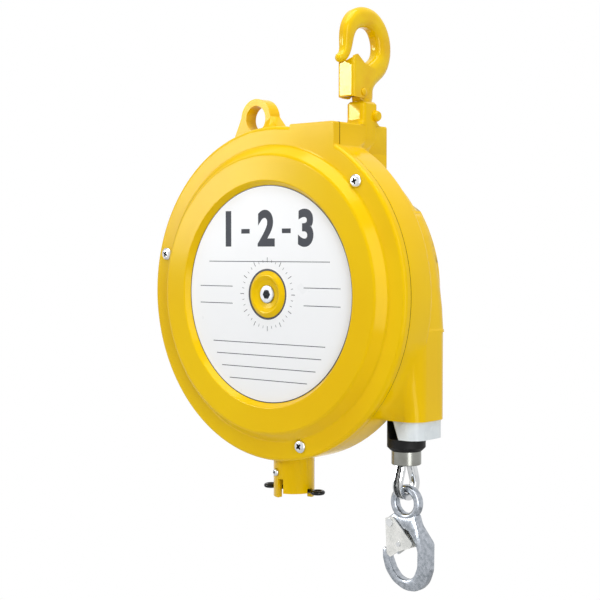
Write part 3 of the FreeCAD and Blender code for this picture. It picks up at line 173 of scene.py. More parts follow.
@dataclass(frozen=True)
class Finish:
    """One real material with the way its surface was made.

    Args:
        name: The material's common name.
        colour: sRGB hex of the clean surface.
        shade: sRGB hex that the colour drifts to in soft patches.
        roughness: Middle roughness; it varies a little across the surface.
        metallic: 1 for bare metal, 0 for paint, plastic and rubber.
        grain: How the surface was made.
        grain_mm: Size of the fine relief in millimetres.
        relief_mm: Height of the fine relief in millimetres.
        patch_mm: Size of the soft patches of colour and gloss in millimetres.
        gloss: Strength of the mirror reflection of a non-metal.
        sheen: sRGB hex of that reflection; pigment near the surface warms it.
        coat: Thickness of a clear layer on top.
        drift: How much roughness varies.
    """

    name: str
    colour: str
    shade: str
    roughness: float
    metallic: float = 0.0
    grain: Grain = Grain.SPRAYED
    grain_mm: float = 1.0
    relief_mm: float = 0.01
    patch_mm: float = 40.0
    gloss: float = 0.5
    sheen: str = "#FFFFFF"
    coat: float = 0.0
    drift: float = 0.06

    def stretch(self) -> tuple[float, float, float]:
        """Return how the relief is drawn out along the piece's own axes."""
        if self.grain is Grain.TURNED:
            return LATHE_DRAW, LATHE_DRAW, 1.0
        if self.grain is Grain.ROLLED:
            return 1.0, 1.0, ROLL_DRAW
        return 1.0, 1.0, 1.0

    def build(self) -> bpy.types.Material:
        """Make the material.

        Returns:
            A material whose colour, roughness and relief come from procedural nodes.
        """
        material = bpy.data.materials.new(self.name.replace(" ", "_"))
        material.use_nodes = True
        tree = material.node_tree
        shader = tree.nodes["Principled BSDF"]
        shader.inputs["Metallic"].default_value = self.metallic
        shader.inputs["Specular IOR Level"].default_value = self.gloss
        shader.inputs["Specular Tint"].default_value = linear(self.sheen)
        shader.inputs["Coat Weight"].default_value = self.coat
        shader.inputs["Coat Roughness"].default_value = COAT_ROUGHNESS
        place = add_node(tree, "TexCoord").outputs["Object"]
        self.paint(tree, shader, place)
        self.polish(tree, shader, place)
        self.emboss(tree, shader, place)
        return material

    def paint(self, tree: bpy.types.NodeTree, shader: bpy.types.Node,
              place: bpy.types.NodeSocket) -> None:
        """Feed the base colour: the clean colour drifting to the shade in soft patches.

        Args:
            tree: The material's node tree.
            shader: The node that receives it.
            place: Where on the piece the pattern is looked up.
        """
        patches = add_node(tree, "TexNoise", {"Scale": 1 / (self.patch_mm * MM), "Detail": 2.0},
                           {"Vector": place})
        blend = add_node(tree, "ValToRGB", links={"Fac": patches.outputs["Fac"]})
        blend.color_ramp.elements[0].position = SHADE_BELOW
        blend.color_ramp.elements[0].color = linear(self.shade)
        blend.color_ramp.elements[1].position = COLOUR_ABOVE
        blend.color_ramp.elements[1].color = linear(self.colour)
        tree.links.new(blend.outputs["Color"], shader.inputs["Base Color"])

    def polish(self, tree: bpy.types.NodeTree, shader: bpy.types.Node,
               place: bpy.types.NodeSocket) -> None:
        """Feed the roughness, which drifts a little round its middle value.

        Args:
            tree: The material's node tree.
            shader: The node that receives it.
            place: Where on the piece the pattern is looked up.
        """
        smears = add_node(tree, "TexNoise", {"Scale": SMEARS / (self.patch_mm * MM), "Detail": 3.0},
                          {"Vector": place})
        level = add_node(tree, "MapRange", {"To Min": max(self.roughness - self.drift, 0.02),
                                            "To Max": self.roughness + self.drift},
                         {"Value": smears.outputs["Fac"]})
        tree.links.new(level.outputs["Result"], shader.inputs["Roughness"])

    def emboss(self, tree: bpy.types.NodeTree, shader: bpy.types.Node,
               place: bpy.types.NodeSocket) -> None:
        """Feed the fine relief of the way the surface was made.

        Args:
            tree: The material's node tree.
            shader: The node that receives it.
            place: Where on the piece the pattern is looked up.
        """
        drawn = add_node(tree, "Mapping", {"Scale": self.stretch()}, {"Vector": place})
        fine = add_node(tree, "TexNoise", {"Scale": 1 / (self.grain_mm * MM), "Detail": 3.0},
                        {"Vector": drawn.outputs["Vector"]})
        relief = add_node(tree, "Bump", {"Distance": self.relief_mm * MM, "Strength": RELIEF_STRENGTH},
                          {"Height": fine.outputs["Fac"]})
        tree.links.new(relief.outputs["Normal"], shader.inputs["Normal"])


@dataclass(frozen=True)
class DialFinish(Finish):
    """Baked enamel on a sheet plate, with a dark printed line along its rim and round its centre hole.

    Args:
        line: sRGB hex of the lines.
        line_mm: Width of the lines in millimetres.
        rim_mm: Radius of the plate.
        hole_mm: Radius of the centre hole.
    """

    line: str = "#20222A"
    line_mm: float = 0.7
    rim_mm: float = 75.0
    hole_mm: float = 16.4

    def paint(self, tree: bpy.types.NodeTree, shader: bpy.types.Node,
              place: bpy.types.NodeSocket) -> None:
        """Feed the base colour: white enamel with the two lines, drawn by the distance to the axis."""
        from_centre = add_node(tree, "VectorMath", {"operation": "SUBTRACT"}, {"Vector": place})
        from_centre.inputs[1].default_value = PLACE.origin
        flat = add_node(tree, "VectorMath", {"operation": "MULTIPLY"},
                        {"Vector": from_centre.outputs["Vector"]})
        flat.inputs[1].default_value = (1.0, 0.0, 1.0)
        radius = add_node(tree, "VectorMath", {"operation": "LENGTH"}, {"Vector": flat.outputs["Vector"]})
        ramp = add_node(tree, "ValToRGB")
        scaled = add_node(tree, "MapRange", {"From Min": 0.0, "From Max": 2 * self.rim_mm * MM},
                          {"Value": radius.outputs["Value"]})
        tree.links.new(scaled.outputs["Result"], ramp.inputs["Fac"])
        stops = ramp.color_ramp
        stops.interpolation = "CONSTANT"
        stops.elements[0].color = linear(self.line)
        stops.elements[1].position = (self.hole_mm + self.line_mm) / (2 * self.rim_mm)
        stops.elements[1].color = linear(self.colour)
        stops.elements.new((self.rim_mm - self.line_mm) / (2 * self.rim_mm)).color = linear(self.line)
        tree.links.new(ramp.outputs["Color"], shader.inputs["Base Color"])


class Finishes:
    """Every finish on the balancer, built once and handed out by the slot it belongs to."""

    TABLE: dict[str, Finish] = {
        # Sprayed two-pack enamel over a die casting: deep colour, soft gloss, faint orange peel.
        "case_paint": Finish("polyurethane_enamel", "#ECC200", "#E8BB00", 0.15, grain_mm=1.6,
                             relief_mm=0.010, patch_mm=70, gloss=0.25, sheen="#FFF4AC", drift=0.03),
        # The same enamel over a drop forging, whose scale shows through as a shallow waviness.
        "hook_paint": Finish("enamel_on_forging", "#ECC400", "#E4B400", 0.15, grain=Grain.FORGED,
                             grain_mm=5.0, relief_mm=0.08, patch_mm=18, gloss=0.35, sheen="#FFF6BC"),
        # Stove enamel on a pressed plate: clean, near white, half gloss.
        "dial": DialFinish("baked_white_enamel", "#EFF0F1", "#E8EAEC", 0.30, grain_mm=2.0,
                           relief_mm=0.003, patch_mm=60),
        # Nickel plate on small turned parts: bright with sharp dark reflections.
        "plated_steel": Finish("nickel_plated_steel", "#DADCDD", "#C9CBCD", 0.16, 1.0, Grain.TURNED,
                               0.6, 0.004, 8.0),
        # Bare turned steel: fine lathe lines round the axis.
        "machined_steel": Finish("machined_steel", "#B4B6B8", "#9EA1A4", 0.30, 1.0, Grain.TURNED,
                                 0.5, 0.006, 10.0),
        # Oil-tempered spring steel: dark blue-grey with a dull sheen.
        "dark_steel": Finish("oil_tempered_spring_steel", "#36383D", "#1C1D20", 0.36, 1.0, Grain.ROLLED,
                             0.8, 0.004, 12.0),
        # Pressure-cast aluminium left bare inside: pale and matt.
        "drum_metal": Finish("cast_aluminium", "#C2C3C4", "#AEB0B1", 0.48, 1.0, Grain.FORGED,
                               2.0, 0.02, 25.0),
        # Sintered bronze: warm brown, porous.
        "bush_bronze": Finish("sintered_bronze", "#A8814A", "#8B6636", 0.46, 1.0, Grain.MOULDED,
                              0.4, 0.01, 6.0),
        # Galvanised wire: each wire bright, dulled by grease between the strands.
        "rope_steel": Finish("galvanised_wire", "#8A8C8B", "#5C5E60", 0.36, 1.0, Grain.ROLLED,
                             0.3, 0.004, 3.0),
        # Injection-moulded polyamide: milky white with soft reflections.
        "white_plastic": Finish("moulded_polyamide", "#E2E8E9", "#D6DDE0", 0.26, 0.0, Grain.MOULDED,
                                1.2, 0.006, 14.0, gloss=0.4),
        # Carbon-filled rubber: near black, with a dull bloom at the edges.
        "black_rubber": Finish("moulded_rubber", "#08090A", "#101112", 0.52, 0.0, Grain.MOULDED,
                               0.8, 0.02, 9.0, gloss=0.22),
        # Drawn aluminium tube pressed on the rope: bright band with fine turning marks.
        "pressed_aluminium": Finish("pressed_aluminium", "#8E8F8A", "#77776F", 0.26, 1.0, Grain.TURNED,
                                    0.7, 0.015, 14.0),
        # Bright zinc plate on a forging: cold blue-white, slightly mottled.
        "forged_zinc": Finish("zinc_plated_forging", "#B2B7BF", "#959CA3", 0.27, 1.0, Grain.FORGED,
                              1.2, 0.035, 2.4, drift=0.08),
        # Zinc-plated sheet: light and flat, with a rolled grain.
        "gate_steel": Finish("zinc_plated_sheet", "#DEDEDB", "#CDCECB", 0.38, 1.0, Grain.ROLLED,
                             0.7, 0.006, 7.0),
        # Black enamel on bent wire: wet-looking.
        "black_steel": Finish("black_enamel", "#040505", "#0A0B0C", 0.2, 0.0, Grain.SPRAYED, 1.5, 0.01, 6.0,
                              gloss=0.3),
        # The same plate inside a driven cross, darkened: painted shade that stands for the shadow in the
        # recess.
        "recess": Finish("scuffed_cross_recess", "#3A3B3D", "#232426", 0.5, 1.0, Grain.MOULDED,
                         0.5, 0.01, 2.0),
        # A thin dark strip between the two castings: painted shade that stands for the shadow in the closed
        # seam.
        "joint_shade": Finish("oiled_fibre", "#3A2C00", "#2C2200", 0.7, 0.0, Grain.ROLLED,
                          0.5, 0.01, 4.0, gloss=0.1),
        # Screen-printing ink: flat and almost black.
        "ink": Finish("printing_ink", "#262A33", "#2C303A", 0.45, 0.0, Grain.SPRAYED,
                      1.0, 0.001, 20.0, gloss=0.3),
    }

    def __init__(self) -> None:
        """Build every material."""
        self.made = {slot: finish.build() for slot, finish in self.TABLE.items()}

    def dress_solids(self) -> None:
        """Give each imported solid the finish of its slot, and shade it smooth between its real edges."""
        slots = {part["node"]: part["material_slot"] for part in frame["record"]["subparts"]}
        for name, solid in frame["nodes"].items():
            solid.data.materials.clear()
            solid.data.materials.append(self.made[slots[name]])
            shade_by_angle(solid.data)
        log.info("dressed %d solids", len(slots))


def shade_by_angle(mesh: bpy.types.Mesh, degrees: float = CRISP) -> None:
    """Shade a mesh smooth, and keep edges sharper than an angle crisp."""
    mesh.shade_smooth()
    mesh.set_sharp_from_angle(angle=math.radians(degrees))


# ---------------------------------------------------------------- mesh helpers
def mesh_piece(name: str, shape: bmesh.types.BMesh, *materials: bpy.types.Material,
               degrees: float = CRISP) -> bpy.types.Object:
    """Turn a bmesh into a piece.

    Args:
        name: The piece's name.
        shape: The geometry, freed here.
        materials: Its finishes, in the order of the faces' material numbers.
        degrees: Edges sharper than this stay crisp.

    Returns:
        The linked object.
    """
    bmesh.ops.recalc_face_normals(shape, faces=shape.faces)
    mesh = bpy.data.meshes.new(name)
    shape.to_mesh(mesh)
    shape.free()
    for material in materials:
        mesh.materials.append(material)
    shade_by_angle(mesh, degrees)
    piece = bpy.data.objects.new(name, mesh)
    bpy.context.scene.collection.objects.link(piece)
    return piece


def add_ring(shape: bmesh.types.BMesh, points: list[Vector]) -> list[bmesh.types.BMVert]:
    """Add one ring of vertices and return them."""
    return [shape.verts.new(point) for point in points]


def bridge(shape: bmesh.types.BMesh, rings: list[list[bmesh.types.BMVert]], closed: bool = False) -> None:
    """Skin neighbouring rings with faces; a closed row also joins its last ring to its first."""
    pairs = list(zip(rings, rings[1:])) + ([(rings[-1], rings[0])] if closed else [])
    for lower, upper in pairs:
        count = len(lower)
        for k in range(count):
            shape.faces.new((lower[k], lower[(k + 1) % count], upper[(k + 1) % count], upper[k]))


def cap(shape: bmesh.types.BMesh, rings: list[list[bmesh.types.BMVert]]) -> None:
    """Close the first and the last ring with a face each."""
    shape.faces.new(rings[0])
    shape.faces.new(rings[-1])


def distances(line: list[Vector]) -> list[float]:
    """Return how far along a line each of its points lies."""
    walked = [0.0]
    for a, b in zip(line, line[1:]):
        walked.append(walked[-1] + (b - a).length)
    return walked


def tube_along(shape: bmesh.types.BMesh, line: list[Vector], radius: float, sides: int = 10) -> None:
    """Skin a round wire along a line of points and cap both its ends.

    Args:
        shape: The bmesh that receives it.
        line: Points of the wire's centre line in metres.
        radius: Radius of the wire in metres.
        sides: Corners of its section.
    """
    rings = []
    heading = (line[1] - line[0]).normalized()
    side = heading.orthogonal().normalized()
    for index, point in enumerate(line):
        ahead = line[min(index + 1, len(line) - 1)] - line[max(index - 1, 0)]
        turn = heading.rotation_difference(ahead.normalized())
        heading = ahead.normalized()
        side = (turn @ side).normalized()
        across = heading.cross(side)
        rings.append(add_ring(shape, [point + radius * (math.cos(a) * side + math.sin(a) * across)
                                      for a in (math.tau * k / sides for k in range(sides))]))
    bridge(shape, rings)
    cap(shape, rings)


def lathe(shape: bmesh.types.BMesh, profile: list[tuple[float, float]], place: Matrix,
          sides: int = 48) -> None:
    """Turn a profile of (radius, height) in millimetres round the local Z axis.

    Args:
        shape: The bmesh that receives it.
        profile: Points from the axis at the bottom to the axis at the top.
        place: Where the local frame stands.
        sides: Steps round the axis.
    """
    rings = []
    for radius, height in profile:
        if radius == 0:
            rings.append([shape.verts.new(place @ Vector((0, 0, height * MM)))])
            continue
        rings.append(add_ring(shape, [place @ Vector((radius * MM * math.cos(a), radius * MM * math.sin(a),
                                                      height * MM))
                                      for a in (math.tau * k / sides for k in range(sides))]))
    for lower, upper in zip(rings, rings[1:]):
        if len(lower) == 1 and len(upper) == 1:
            continue
        for k in range(sides):
            n = (k + 1) % sides
            if len(lower) == 1:
                shape.faces.new((lower[0], upper[n], upper[k]))
            elif len(upper) == 1:
                shape.faces.new((lower[k], lower[n], upper[0]))
            else:
                shape.faces.new((lower[k], lower[n], upper[n], upper[k]))


def facing(at: Vector, way: Vector) -> Matrix:
    """Return the frame whose Z looks along a direction from a point."""
    return Matrix.Translation(at) @ way.to_track_quat("Z", "Y").to_matrix().to_4x4()


def nurbs(name: str, points: list[Vector]) -> bpy.types.Object:
    """Make the guide spline of a rope through its control points.

    Args:
        name: The curve's name.
        points: Control points in metres.

    Returns:
        The unlinked curve object.
    """
    curve = bpy.data.curves.new(name, "CURVE")
    curve.dimensions = "3D"
    curve.resolution_u = 24
    spline = curve.splines.new("NURBS")
    spline.points.add(len(points) - 1)
    for knot, point in zip(spline.points, points):
        knot.co = (*point, 1.0)
    spline.order_u = 3
    spline.use_endpoint_u = True
    return bpy.data.objects.new(name, curve)


def points_of(guide: bpy.types.Object) -> list[Vector]:
    """Read the points of a guide spline and delete it."""
    bpy.context.scene.collection.objects.link(guide)
    mesh = bpy.data.meshes.new_from_object(guide)
    line = [vertex.co.copy() for vertex in mesh.vertices]
    bpy.data.objects.remove(guide)
    bpy.data.meshes.remove(mesh)
    return line


def evenly(line: list[Vector], step: float) -> list[Vector]:
    """Walk along a line and return evenly spaced points, about one step apart."""
    walked = distances(line)
    count = max(int(walked[-1] / step), 4)
    result = []
    index = 0
    for k in range(count + 1):
        goal = walked[-1] * k / count
        while index < len(line) - 2 and walked[index + 1] < goal:
            index += 1
        span = max(walked[index + 1] - walked[index], 1e-9)
        share = min(max((goal - walked[index]) / span, 0.0), 1.0)
        result.append(line[index].lerp(line[index + 1], share))
    return result


# ---------------------------------------------------------------- wire rope
@dataclass
class WireRope:
    """The wire rope: six strands round a core, on the drum, down the outlet and round the thimble.

    Args:
        finishes: The finishes to dress it in.
        radius: Radius over the strands in millimetres.
        x: Where the rope hangs, from the drum's axis.
        y: Depth at which it hangs; not used.
        strands: Number of strands.
        lay: Length of one turn of a strand.
        strand_share: A strand's radius as a share of the rope's.
        core_share: The core's radius as a share of the rope's.
    """

    finishes: Finishes
    radius: float = 1.6
    x: float = 91.6
    y: float = 37.0
    strands: int = 6
    lay: float = 15.0
    strand_share: float = 0.36
    core_share: float = 0.5

    def strand_mesh(self, name: str, line: list[Vector]) -> bpy.types.Object:
        """Lay the strands round a centre line and fill its core."""
        line = evenly(line, 0.6 * MM)
        strand = self.radius * self.strand_share * MM
        pitch_radius = self.radius * MM - strand
        shape = bmesh.new()
        tube_along(shape, line, self.radius * self.core_share * MM, 8)
        walked = distances(line)
        heading = (line[1] - line[0]).normalized()
        side = heading.orthogonal().normalized()
        frames = []
        for index in range(len(line)):
            ahead = (line[min(index + 1, len(line) - 1)] - line[max(index - 1, 0)]).normalized()
            side = (heading.rotation_difference(ahead) @ side).normalized()
            heading = ahead
            frames.append((side, heading.cross(side)))
        for strand_number in range(self.strands):
            wire = []
            for point, (along, across), gone in zip(line, frames, walked):
                angle = math.tau * (strand_number / self.strands - gone / (self.lay * MM))
                wire.append(point + pitch_radius * (math.cos(angle) * along + math.sin(angle) * across))
            tube_along(shape, wire, strand, 8)
        return mesh_piece(name, shape, self.finishes.made["rope_steel"], degrees=60.0)

    def run(self) -> None:
        """Build the straight run from the drum down into the ferrule."""
        low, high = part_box("rope_run")
        top = Vector(((low[0] + high[0]) / 2, (low[1] + high[1]) / 2, high[2]))
        foot = Vector((top.x, top.y, low[2]))
        route = [top.lerp(foot, k / 4) for k in range(5)]
        line = points_of(nurbs("rope_run_route", route))
        piece = self.strand_mesh("rope_run_strands", line)
        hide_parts("rope_run")
        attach(piece, "rope_end")
        log.info("rope run %.1f mm", (top - foot).length / MM)

    def wound(self, turns: float = 4.8) -> None:
        """Build the turns that lie on the drum."""
        low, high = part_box("rope_coil")
        per_turn = 24
        start = low[1] + self.radius * MM
        end = high[1] - self.radius * MM
        count = int(turns * per_turn)
        swell = 1.0 / math.cos(math.pi / per_turn)
        route = []
        for k in range(count + 1):
            angle = math.tau * k / per_turn
            depth = start + (end - start) * k / count
            reach = self.x * MM * (swell if 0 < k < count else 1.0)
            centre = PLACE.origin
            route.append(Vector((centre[0] + reach * math.cos(angle), depth,
                                 centre[2] + reach * math.sin(angle))))
        line = points_of(nurbs("rope_coil_route", route))
        piece = self.strand_mesh("rope_coil_strands", line)
        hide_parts("rope_coil")
        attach(piece, "drum_body")

    def eye(self) -> None:
        """Build the loop round the thimble."""
        half = 9.0
        tall = 13.0
        leg = 5.0
        grip = 2.5
        low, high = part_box("rope_eye")
        x = (low[0] + high[0]) / 2
        y = (low[1] + high[1]) / 2
        centre_z = low[2] + (half + self.radius) * MM
        lean = math.atan2(tall, leg) - math.acos(half / math.hypot(tall, leg))
        entry = Vector((0.0, leg, tall))
        leaves = Vector((0.0, half * math.cos(lean), half * math.sin(lean)))
        top = entry + (entry - leaves).normalized() * grip
        right = [top, entry, entry.lerp(leaves, 0.5)]
        steps = 9
        sweep = math.pi + 2 * lean
        swell = 1.0 / math.cos(sweep / steps / 2)
        bend = []
        for k in range(steps):
            angle = lean - sweep * (k + 0.5) / steps
            bend.append(Vector((0.0, half * swell * math.cos(angle), half * swell * math.sin(angle))))
        left = [Vector((0.0, -p.y, p.z)) for p in reversed(right)]
        route = [Vector((x, y + p.y * MM, centre_z + p.z * MM)) for p in right + bend + left]
        line = points_of(nurbs("rope_eye_route", route))
        thimble = self.thimble(line)
        piece = self.strand_mesh("rope_eye_strands", line)
        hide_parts("rope_eye")
        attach(piece, "rope_end")

    def thimble(self, line: list[Vector]) -> bpy.types.Object:
        """Fold the thimble: a channel inside the loop, with a flange on each side of the rope.

        Args:
            line: The rope's centre line round the loop.

        Returns:
            The thimble, dressed and riding with the rope's end.
        """
        section = [(-3.1, 2.0), (-3.0, -1.2), (-2.3, -2.2), (-1.2, -2.5),
                   (1.2, -2.5), (2.3, -2.2), (3.0, -1.2), (3.1, 2.0),
                   (2.3, 2.0), (2.2, -0.8), (1.4, -1.65),
                   (-1.4, -1.65), (-2.2, -0.8), (-2.3, 2.0)]
        walk = evenly(line, 0.8 * MM)[2:-2]
        middle = sum(walk, Vector()) / len(walk)
        shape = bmesh.new()
        rings = []
        for index, point in enumerate(walk):
            along = (walk[min(index + 1, len(walk) - 1)] - walk[max(index - 1, 0)]).normalized()
            out = along.cross(Vector((1, 0, 0))).normalized()
            if out.dot(point - middle) < 0:
                out = -out
            rings.append(add_ring(shape, [point + Vector((a * MM, 0, 0)) + b * MM * out for a, b in section]))
        bridge(shape, rings)
        cap(shape, rings)
        piece = mesh_piece("thimble_channel", shape, self.finishes.made["plated_steel"], degrees=50.0)
        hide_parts("thimble")
        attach(piece, "rope_end")
        return piece


# ---------------------------------------------------------------- springs
class Winding(Enum):
    """How tightly a spring is wound."""

    OPEN = "open"
    CLOSE = "close"


@dataclass
class Coil:
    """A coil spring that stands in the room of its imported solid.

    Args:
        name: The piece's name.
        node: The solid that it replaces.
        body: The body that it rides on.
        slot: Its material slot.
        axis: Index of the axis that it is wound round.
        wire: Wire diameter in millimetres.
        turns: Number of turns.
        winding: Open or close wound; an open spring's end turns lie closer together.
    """

    name: str
    node: str
    body: str
    slot: str
    axis: int
    wire: float
    turns: float
    winding: Winding = Winding.OPEN

    def box(self) -> tuple[Vector, Vector]:
        """Return the corners of the solid's box."""
        low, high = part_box(self.node)
        return Vector(low), Vector(high)

    def line(self) -> list[Vector]:
        """Return the centre line of the wire."""
        low, high = self.box()
        middle = (low + high) / 2
        others = [k for k in range(3) if k != self.axis]
        radius = min(high[k] - low[k] for k in others) / 2 - self.wire * MM / 2
        start = low[self.axis] + self.wire * MM / 2
        span = high[self.axis] - low[self.axis] - self.wire * MM
        steps = int(self.turns * 28)
        line = []
        for k in range(steps + 1):
            share = k / steps
            if self.winding is Winding.OPEN:
                rise = share - 0.55 * math.sin(math.tau * share) / math.tau
            else:
                rise = share
            angle = math.tau * self.turns * share
            point = middle.copy()
            point[self.axis] = start + span * rise
            point[others[0]] += radius * math.cos(angle)
            point[others[1]] += radius * math.sin(angle)
            line.append(point)
        return line

    def build(self, finishes: Finishes) -> bpy.types.Object:
        """Wind the spring and set it in the place of its solid."""
        shape = bmesh.new()
        tube_along(shape, self.line(), self.wire * MM / 2, 10)
        piece = mesh_piece(self.name, shape, finishes.made[self.slot], degrees=60.0)
        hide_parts(self.node)
        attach(piece, self.body)
        log.info("wound %s", self.name)
        return piece


# ---------------------------------------------------------------- screws
@dataclass
class PanScrew:
    """A pan-head screw with a cross recess.

    Args:
        head_r: Radius of the head.
        head_h: Height of the head.
        shank_r: Radius over the thread.
        length: Length under the head.
        pitch: Distance between the threads.
        flat: Radius of the crown's flat, as a share of the head's.
        edge: Height of the head's upright edge, as a share of the head's.
        root: Radius between the threads, as a share of the shank's.
    """

    head_r: float
    head_h: float
    shank_r: float
    length: float
    pitch: float
    flat: float = 0.55
    edge: float = 0.12
    root: float = 0.84

    def profile(self) -> list[tuple[float, float]]:
        """Return the half section from the tip to the crown, as (radius, height)."""
        points = [(0.0, -self.length), (self.shank_r * 0.7, -self.length),
                  (self.shank_r * 0.86, -self.length + 0.5)]
        height = -self.length + 0.5
        while height < -self.pitch:
            points += [(self.shank_r, height + self.pitch / 2),
                       (self.shank_r * self.root, height + self.pitch)]
            height += self.pitch
        points += [(self.shank_r * self.root, 0.0), (self.head_r * 0.97, 0.0),
                   (self.head_r, self.edge * self.head_h)]
        bow = self.head_h * 0.88
        for k in range(1, 9):
            angle = math.pi / 2 * k / 8
            points.append((self.head_r * (self.flat + 0.45 * math.cos(angle)),
                           self.edge * self.head_h + bow * (0.8 * math.sin(angle) + 0.2 * k / 8)))
        return points

    def cut_recess(self, shape: bmesh.types.BMesh, place: Matrix) -> None:
        """Add the crown with its cross recess: four wings that narrow to a blunt floor."""
        crown = self.head_h
        wing = self.head_r * 0.5
        half = self.head_r * 0.12
        floor = crown - self.head_h * 0.62
        outer = []
        rim = []
        inner = []
        for quarter in range(4):
            turn = math.pi / 2 * quarter
            corners = [(wing, -half), (wing, half), (half * 1.5, half * 1.5)]
            for a, b in corners:
                x = a * math.cos(turn) - b * math.sin(turn)
                y = a * math.sin(turn) + b * math.cos(turn)
                rim.append((x, y))
        for x, y in rim:
            outer.append(shape.verts.new(place @ Vector((x * MM, y * MM, crown * MM))))
            inner.append(shape.verts.new(place @ Vector((x * 0.55 * MM, y * 0.55 * MM, floor * MM))))
        count = len(rim)
        # The recess's walls and floor take the second, darkened finish: painted shade inside the cross.
        for k in range(count):
            wall = shape.faces.new((outer[k], outer[(k + 1) % count], inner[(k + 1) % count], inner[k]))
            wall.material_index = 1
        shape.faces.new(inner).material_index = 1
        edge = [shape.verts.new(place @ Vector((self.head_r * self.flat * MM * math.cos(a),
                                                self.head_r * self.flat * MM * math.sin(a), crown * MM)))
                for a in (math.tau * k / 48 for k in range(48))]
        loops = []
        for ring in (edge, outer):
            for pair in zip(ring, ring[1:] + ring[:1]):
                loops.append(shape.edges.get(pair) or shape.edges.new(pair))
        bmesh.ops.triangle_fill(shape, edges=loops, use_beauty=True)

    def add(self, shape: bmesh.types.BMesh, seat: Vector, way: Vector, turn: float) -> None:
        """Add one screw.

        Args:
            shape: The bmesh that receives it.
            seat: The point under the head.
            way: The direction that the head looks in.
            turn: How far the recess is turned, in degrees.
        """
        place = facing(seat, way) @ Matrix.Rotation(math.radians(turn), 4, "Z")
        lathe(shape, self.profile(), place)
        self.cut_recess(shape, place)
        bmesh.ops.remove_doubles(shape, verts=shape.verts, dist=0.002 * MM)


@dataclass
class Screws:
    """The three cover screws and the small screw that keeps the lock bush in its tube.

    Args:
        finishes: The finishes to dress them in.
        pitch_radius: Radius of the circle that the cover screws stand on.
        seat_y: Depth of the face under their heads.
        angles: Where they stand on the circle, in degrees.
        turns: How far each recess is turned, in degrees.
        lock_seat: How far the lock screw's head stands from the middle of its tube.
    """

    finishes: Finishes
    pitch_radius: float = 106.5
    seat_y: float = 3.0
    angles: tuple[float, ...] = (45.0, 165.0, 285.0)
    turns: tuple[float, ...] = (18.0, 61.0, 40.0)
    lock_seat: float = 14.52

    def cover(self) -> None:
        """Build the cover screws."""
        screw = PanScrew(4.6, 2.2, 2.5, 18.0, 0.8)
        shape = bmesh.new()
        for angle, turn in zip(self.angles, self.turns):
            screw.add(shape, PLACE.polar(self.pitch_radius, angle, self.seat_y), Vector((0, -1, 0)), turn)
        # The second finish darkens the cross recesses: painted shade.
        piece = mesh_piece("cover_pan_screws", shape, self.finishes.made["plated_steel"],
                           self.finishes.made["recess"], degrees=35.0)
        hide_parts("cover_screws")
        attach(piece, "case")
        log.info("three cover screws")

    def lock(self) -> None:
        """Build the small screw in the lock tube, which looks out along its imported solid."""
        middle = centre_of("lock_bush")
        outer = centre_of("set_screw")
        way = Vector((outer.x - middle.x, outer.y - middle.y, 0.0)).normalized()
        screw = PanScrew(2.8, 1.9, 1.5, 8.0, 0.5)
        seat = Vector((middle.x, middle.y, outer.z)) + way * self.lock_seat * MM
        shape = bmesh.new()
        screw.add(shape, seat, way, 25.0)
        piece = mesh_piece("lock_pan_screw", shape, self.finishes.made["plated_steel"],
                           self.finishes.made["recess"], degrees=35.0)
        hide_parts("set_screw")
        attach(piece, "case")
        log.info("lock screw")


# ---------------------------------------------------------------- solids made anew
def rounded(corners: list[tuple[float, ...]], steps: int = 8) -> list[tuple[float, float]]:
    """Round the corners of an outline.

    Args:
        corners: (a, b) or (a, b, radius) in millimetres.
        steps: Points on each rounded corner.

    Returns:
        The outline's points.
    """
    outline = []
    for index, (a, b, *radius) in enumerate(corners):
        here = Vector((a, b))
        if not radius or radius[0] == 0:
            outline.append((a, b))
            continue
        back = Vector(corners[index - 1][:2]) - here
        ahead = Vector(corners[(index + 1) % len(corners)][:2]) - here
        half = back.angle(ahead) / 2
        reach = min(radius[0] / math.tan(half), 0.48 * back.length, 0.48 * ahead.length)
        start = here + back.normalized() * reach
        end = here + ahead.normalized() * reach
        for k in range(steps + 1):
            t = k / steps
            point = (1 - t) ** 2 * start + 2 * t * (1 - t) * here + t * t * end
            outline.append((point.x, point.y))
    return outline


def inset(outline: list[tuple[float, float]], by: float) -> list[tuple[float, float]]:
    """Move every point of a smooth closed outline inwards; the outline runs anticlockwise."""
    moved = []
    for index, (a, b) in enumerate(outline):
        before = Vector(outline[index - 1])
        after = Vector(outline[(index + 1) % len(outline)])
        along = (after - before).normalized()
        moved.append((a - along.y * by, b + along.x * by))
    return moved


def prism(shape: bmesh.types.BMesh, outline: list[tuple[float, float]], y0: float, y1: float,
          chamfer: float = 0.0) -> None:
    """Add a plate with an outline in the X-Z plane.

    Args:
        shape: The bmesh that receives it.
        outline: Points (x, z) from the dial's centre in millimetres.
        y0: Depth of its front face.
        y1: Depth of its back face.
        chamfer: Width of the soft chamfer along both faces' edges.
    """
    levels = [(y0, 0.0), (y1, 0.0)]
    if chamfer:
        levels = [(y0, chamfer), (y0 + 0.35 * chamfer, 0.35 * chamfer), (y0 + chamfer, 0.0),
                  (y1 - chamfer, 0.0), (y1 - 0.35 * chamfer, 0.35 * chamfer), (y1, chamfer)]
    rings = [add_ring(shape, [PLACE.at(x, y, z) for x, z in (inset(outline, by) if by else outline)])
             for y, by in levels]
    bridge(shape, rings)
    cap(shape, rings)


def weld(mesh: bpy.types.Mesh) -> None:
    """Join the points that neighbouring faces share, so that the mesh is closed."""
    shape = bmesh.new()
    shape.from_mesh(mesh)
    bmesh.ops.remove_doubles(shape, verts=shape.verts, dist=0.0005 * MM)
    shape.to_mesh(mesh)
    shape.free()


def apply_modifiers(piece: bpy.types.Object) -> None:
    """Give a piece the mesh that its modifiers make."""
    bpy.context.view_layer.update()
    done = bpy.data.meshes.new_from_object(piece.evaluated_get(bpy.context.evaluated_depsgraph_get()))
    piece.modifiers.clear()
    piece.data = done


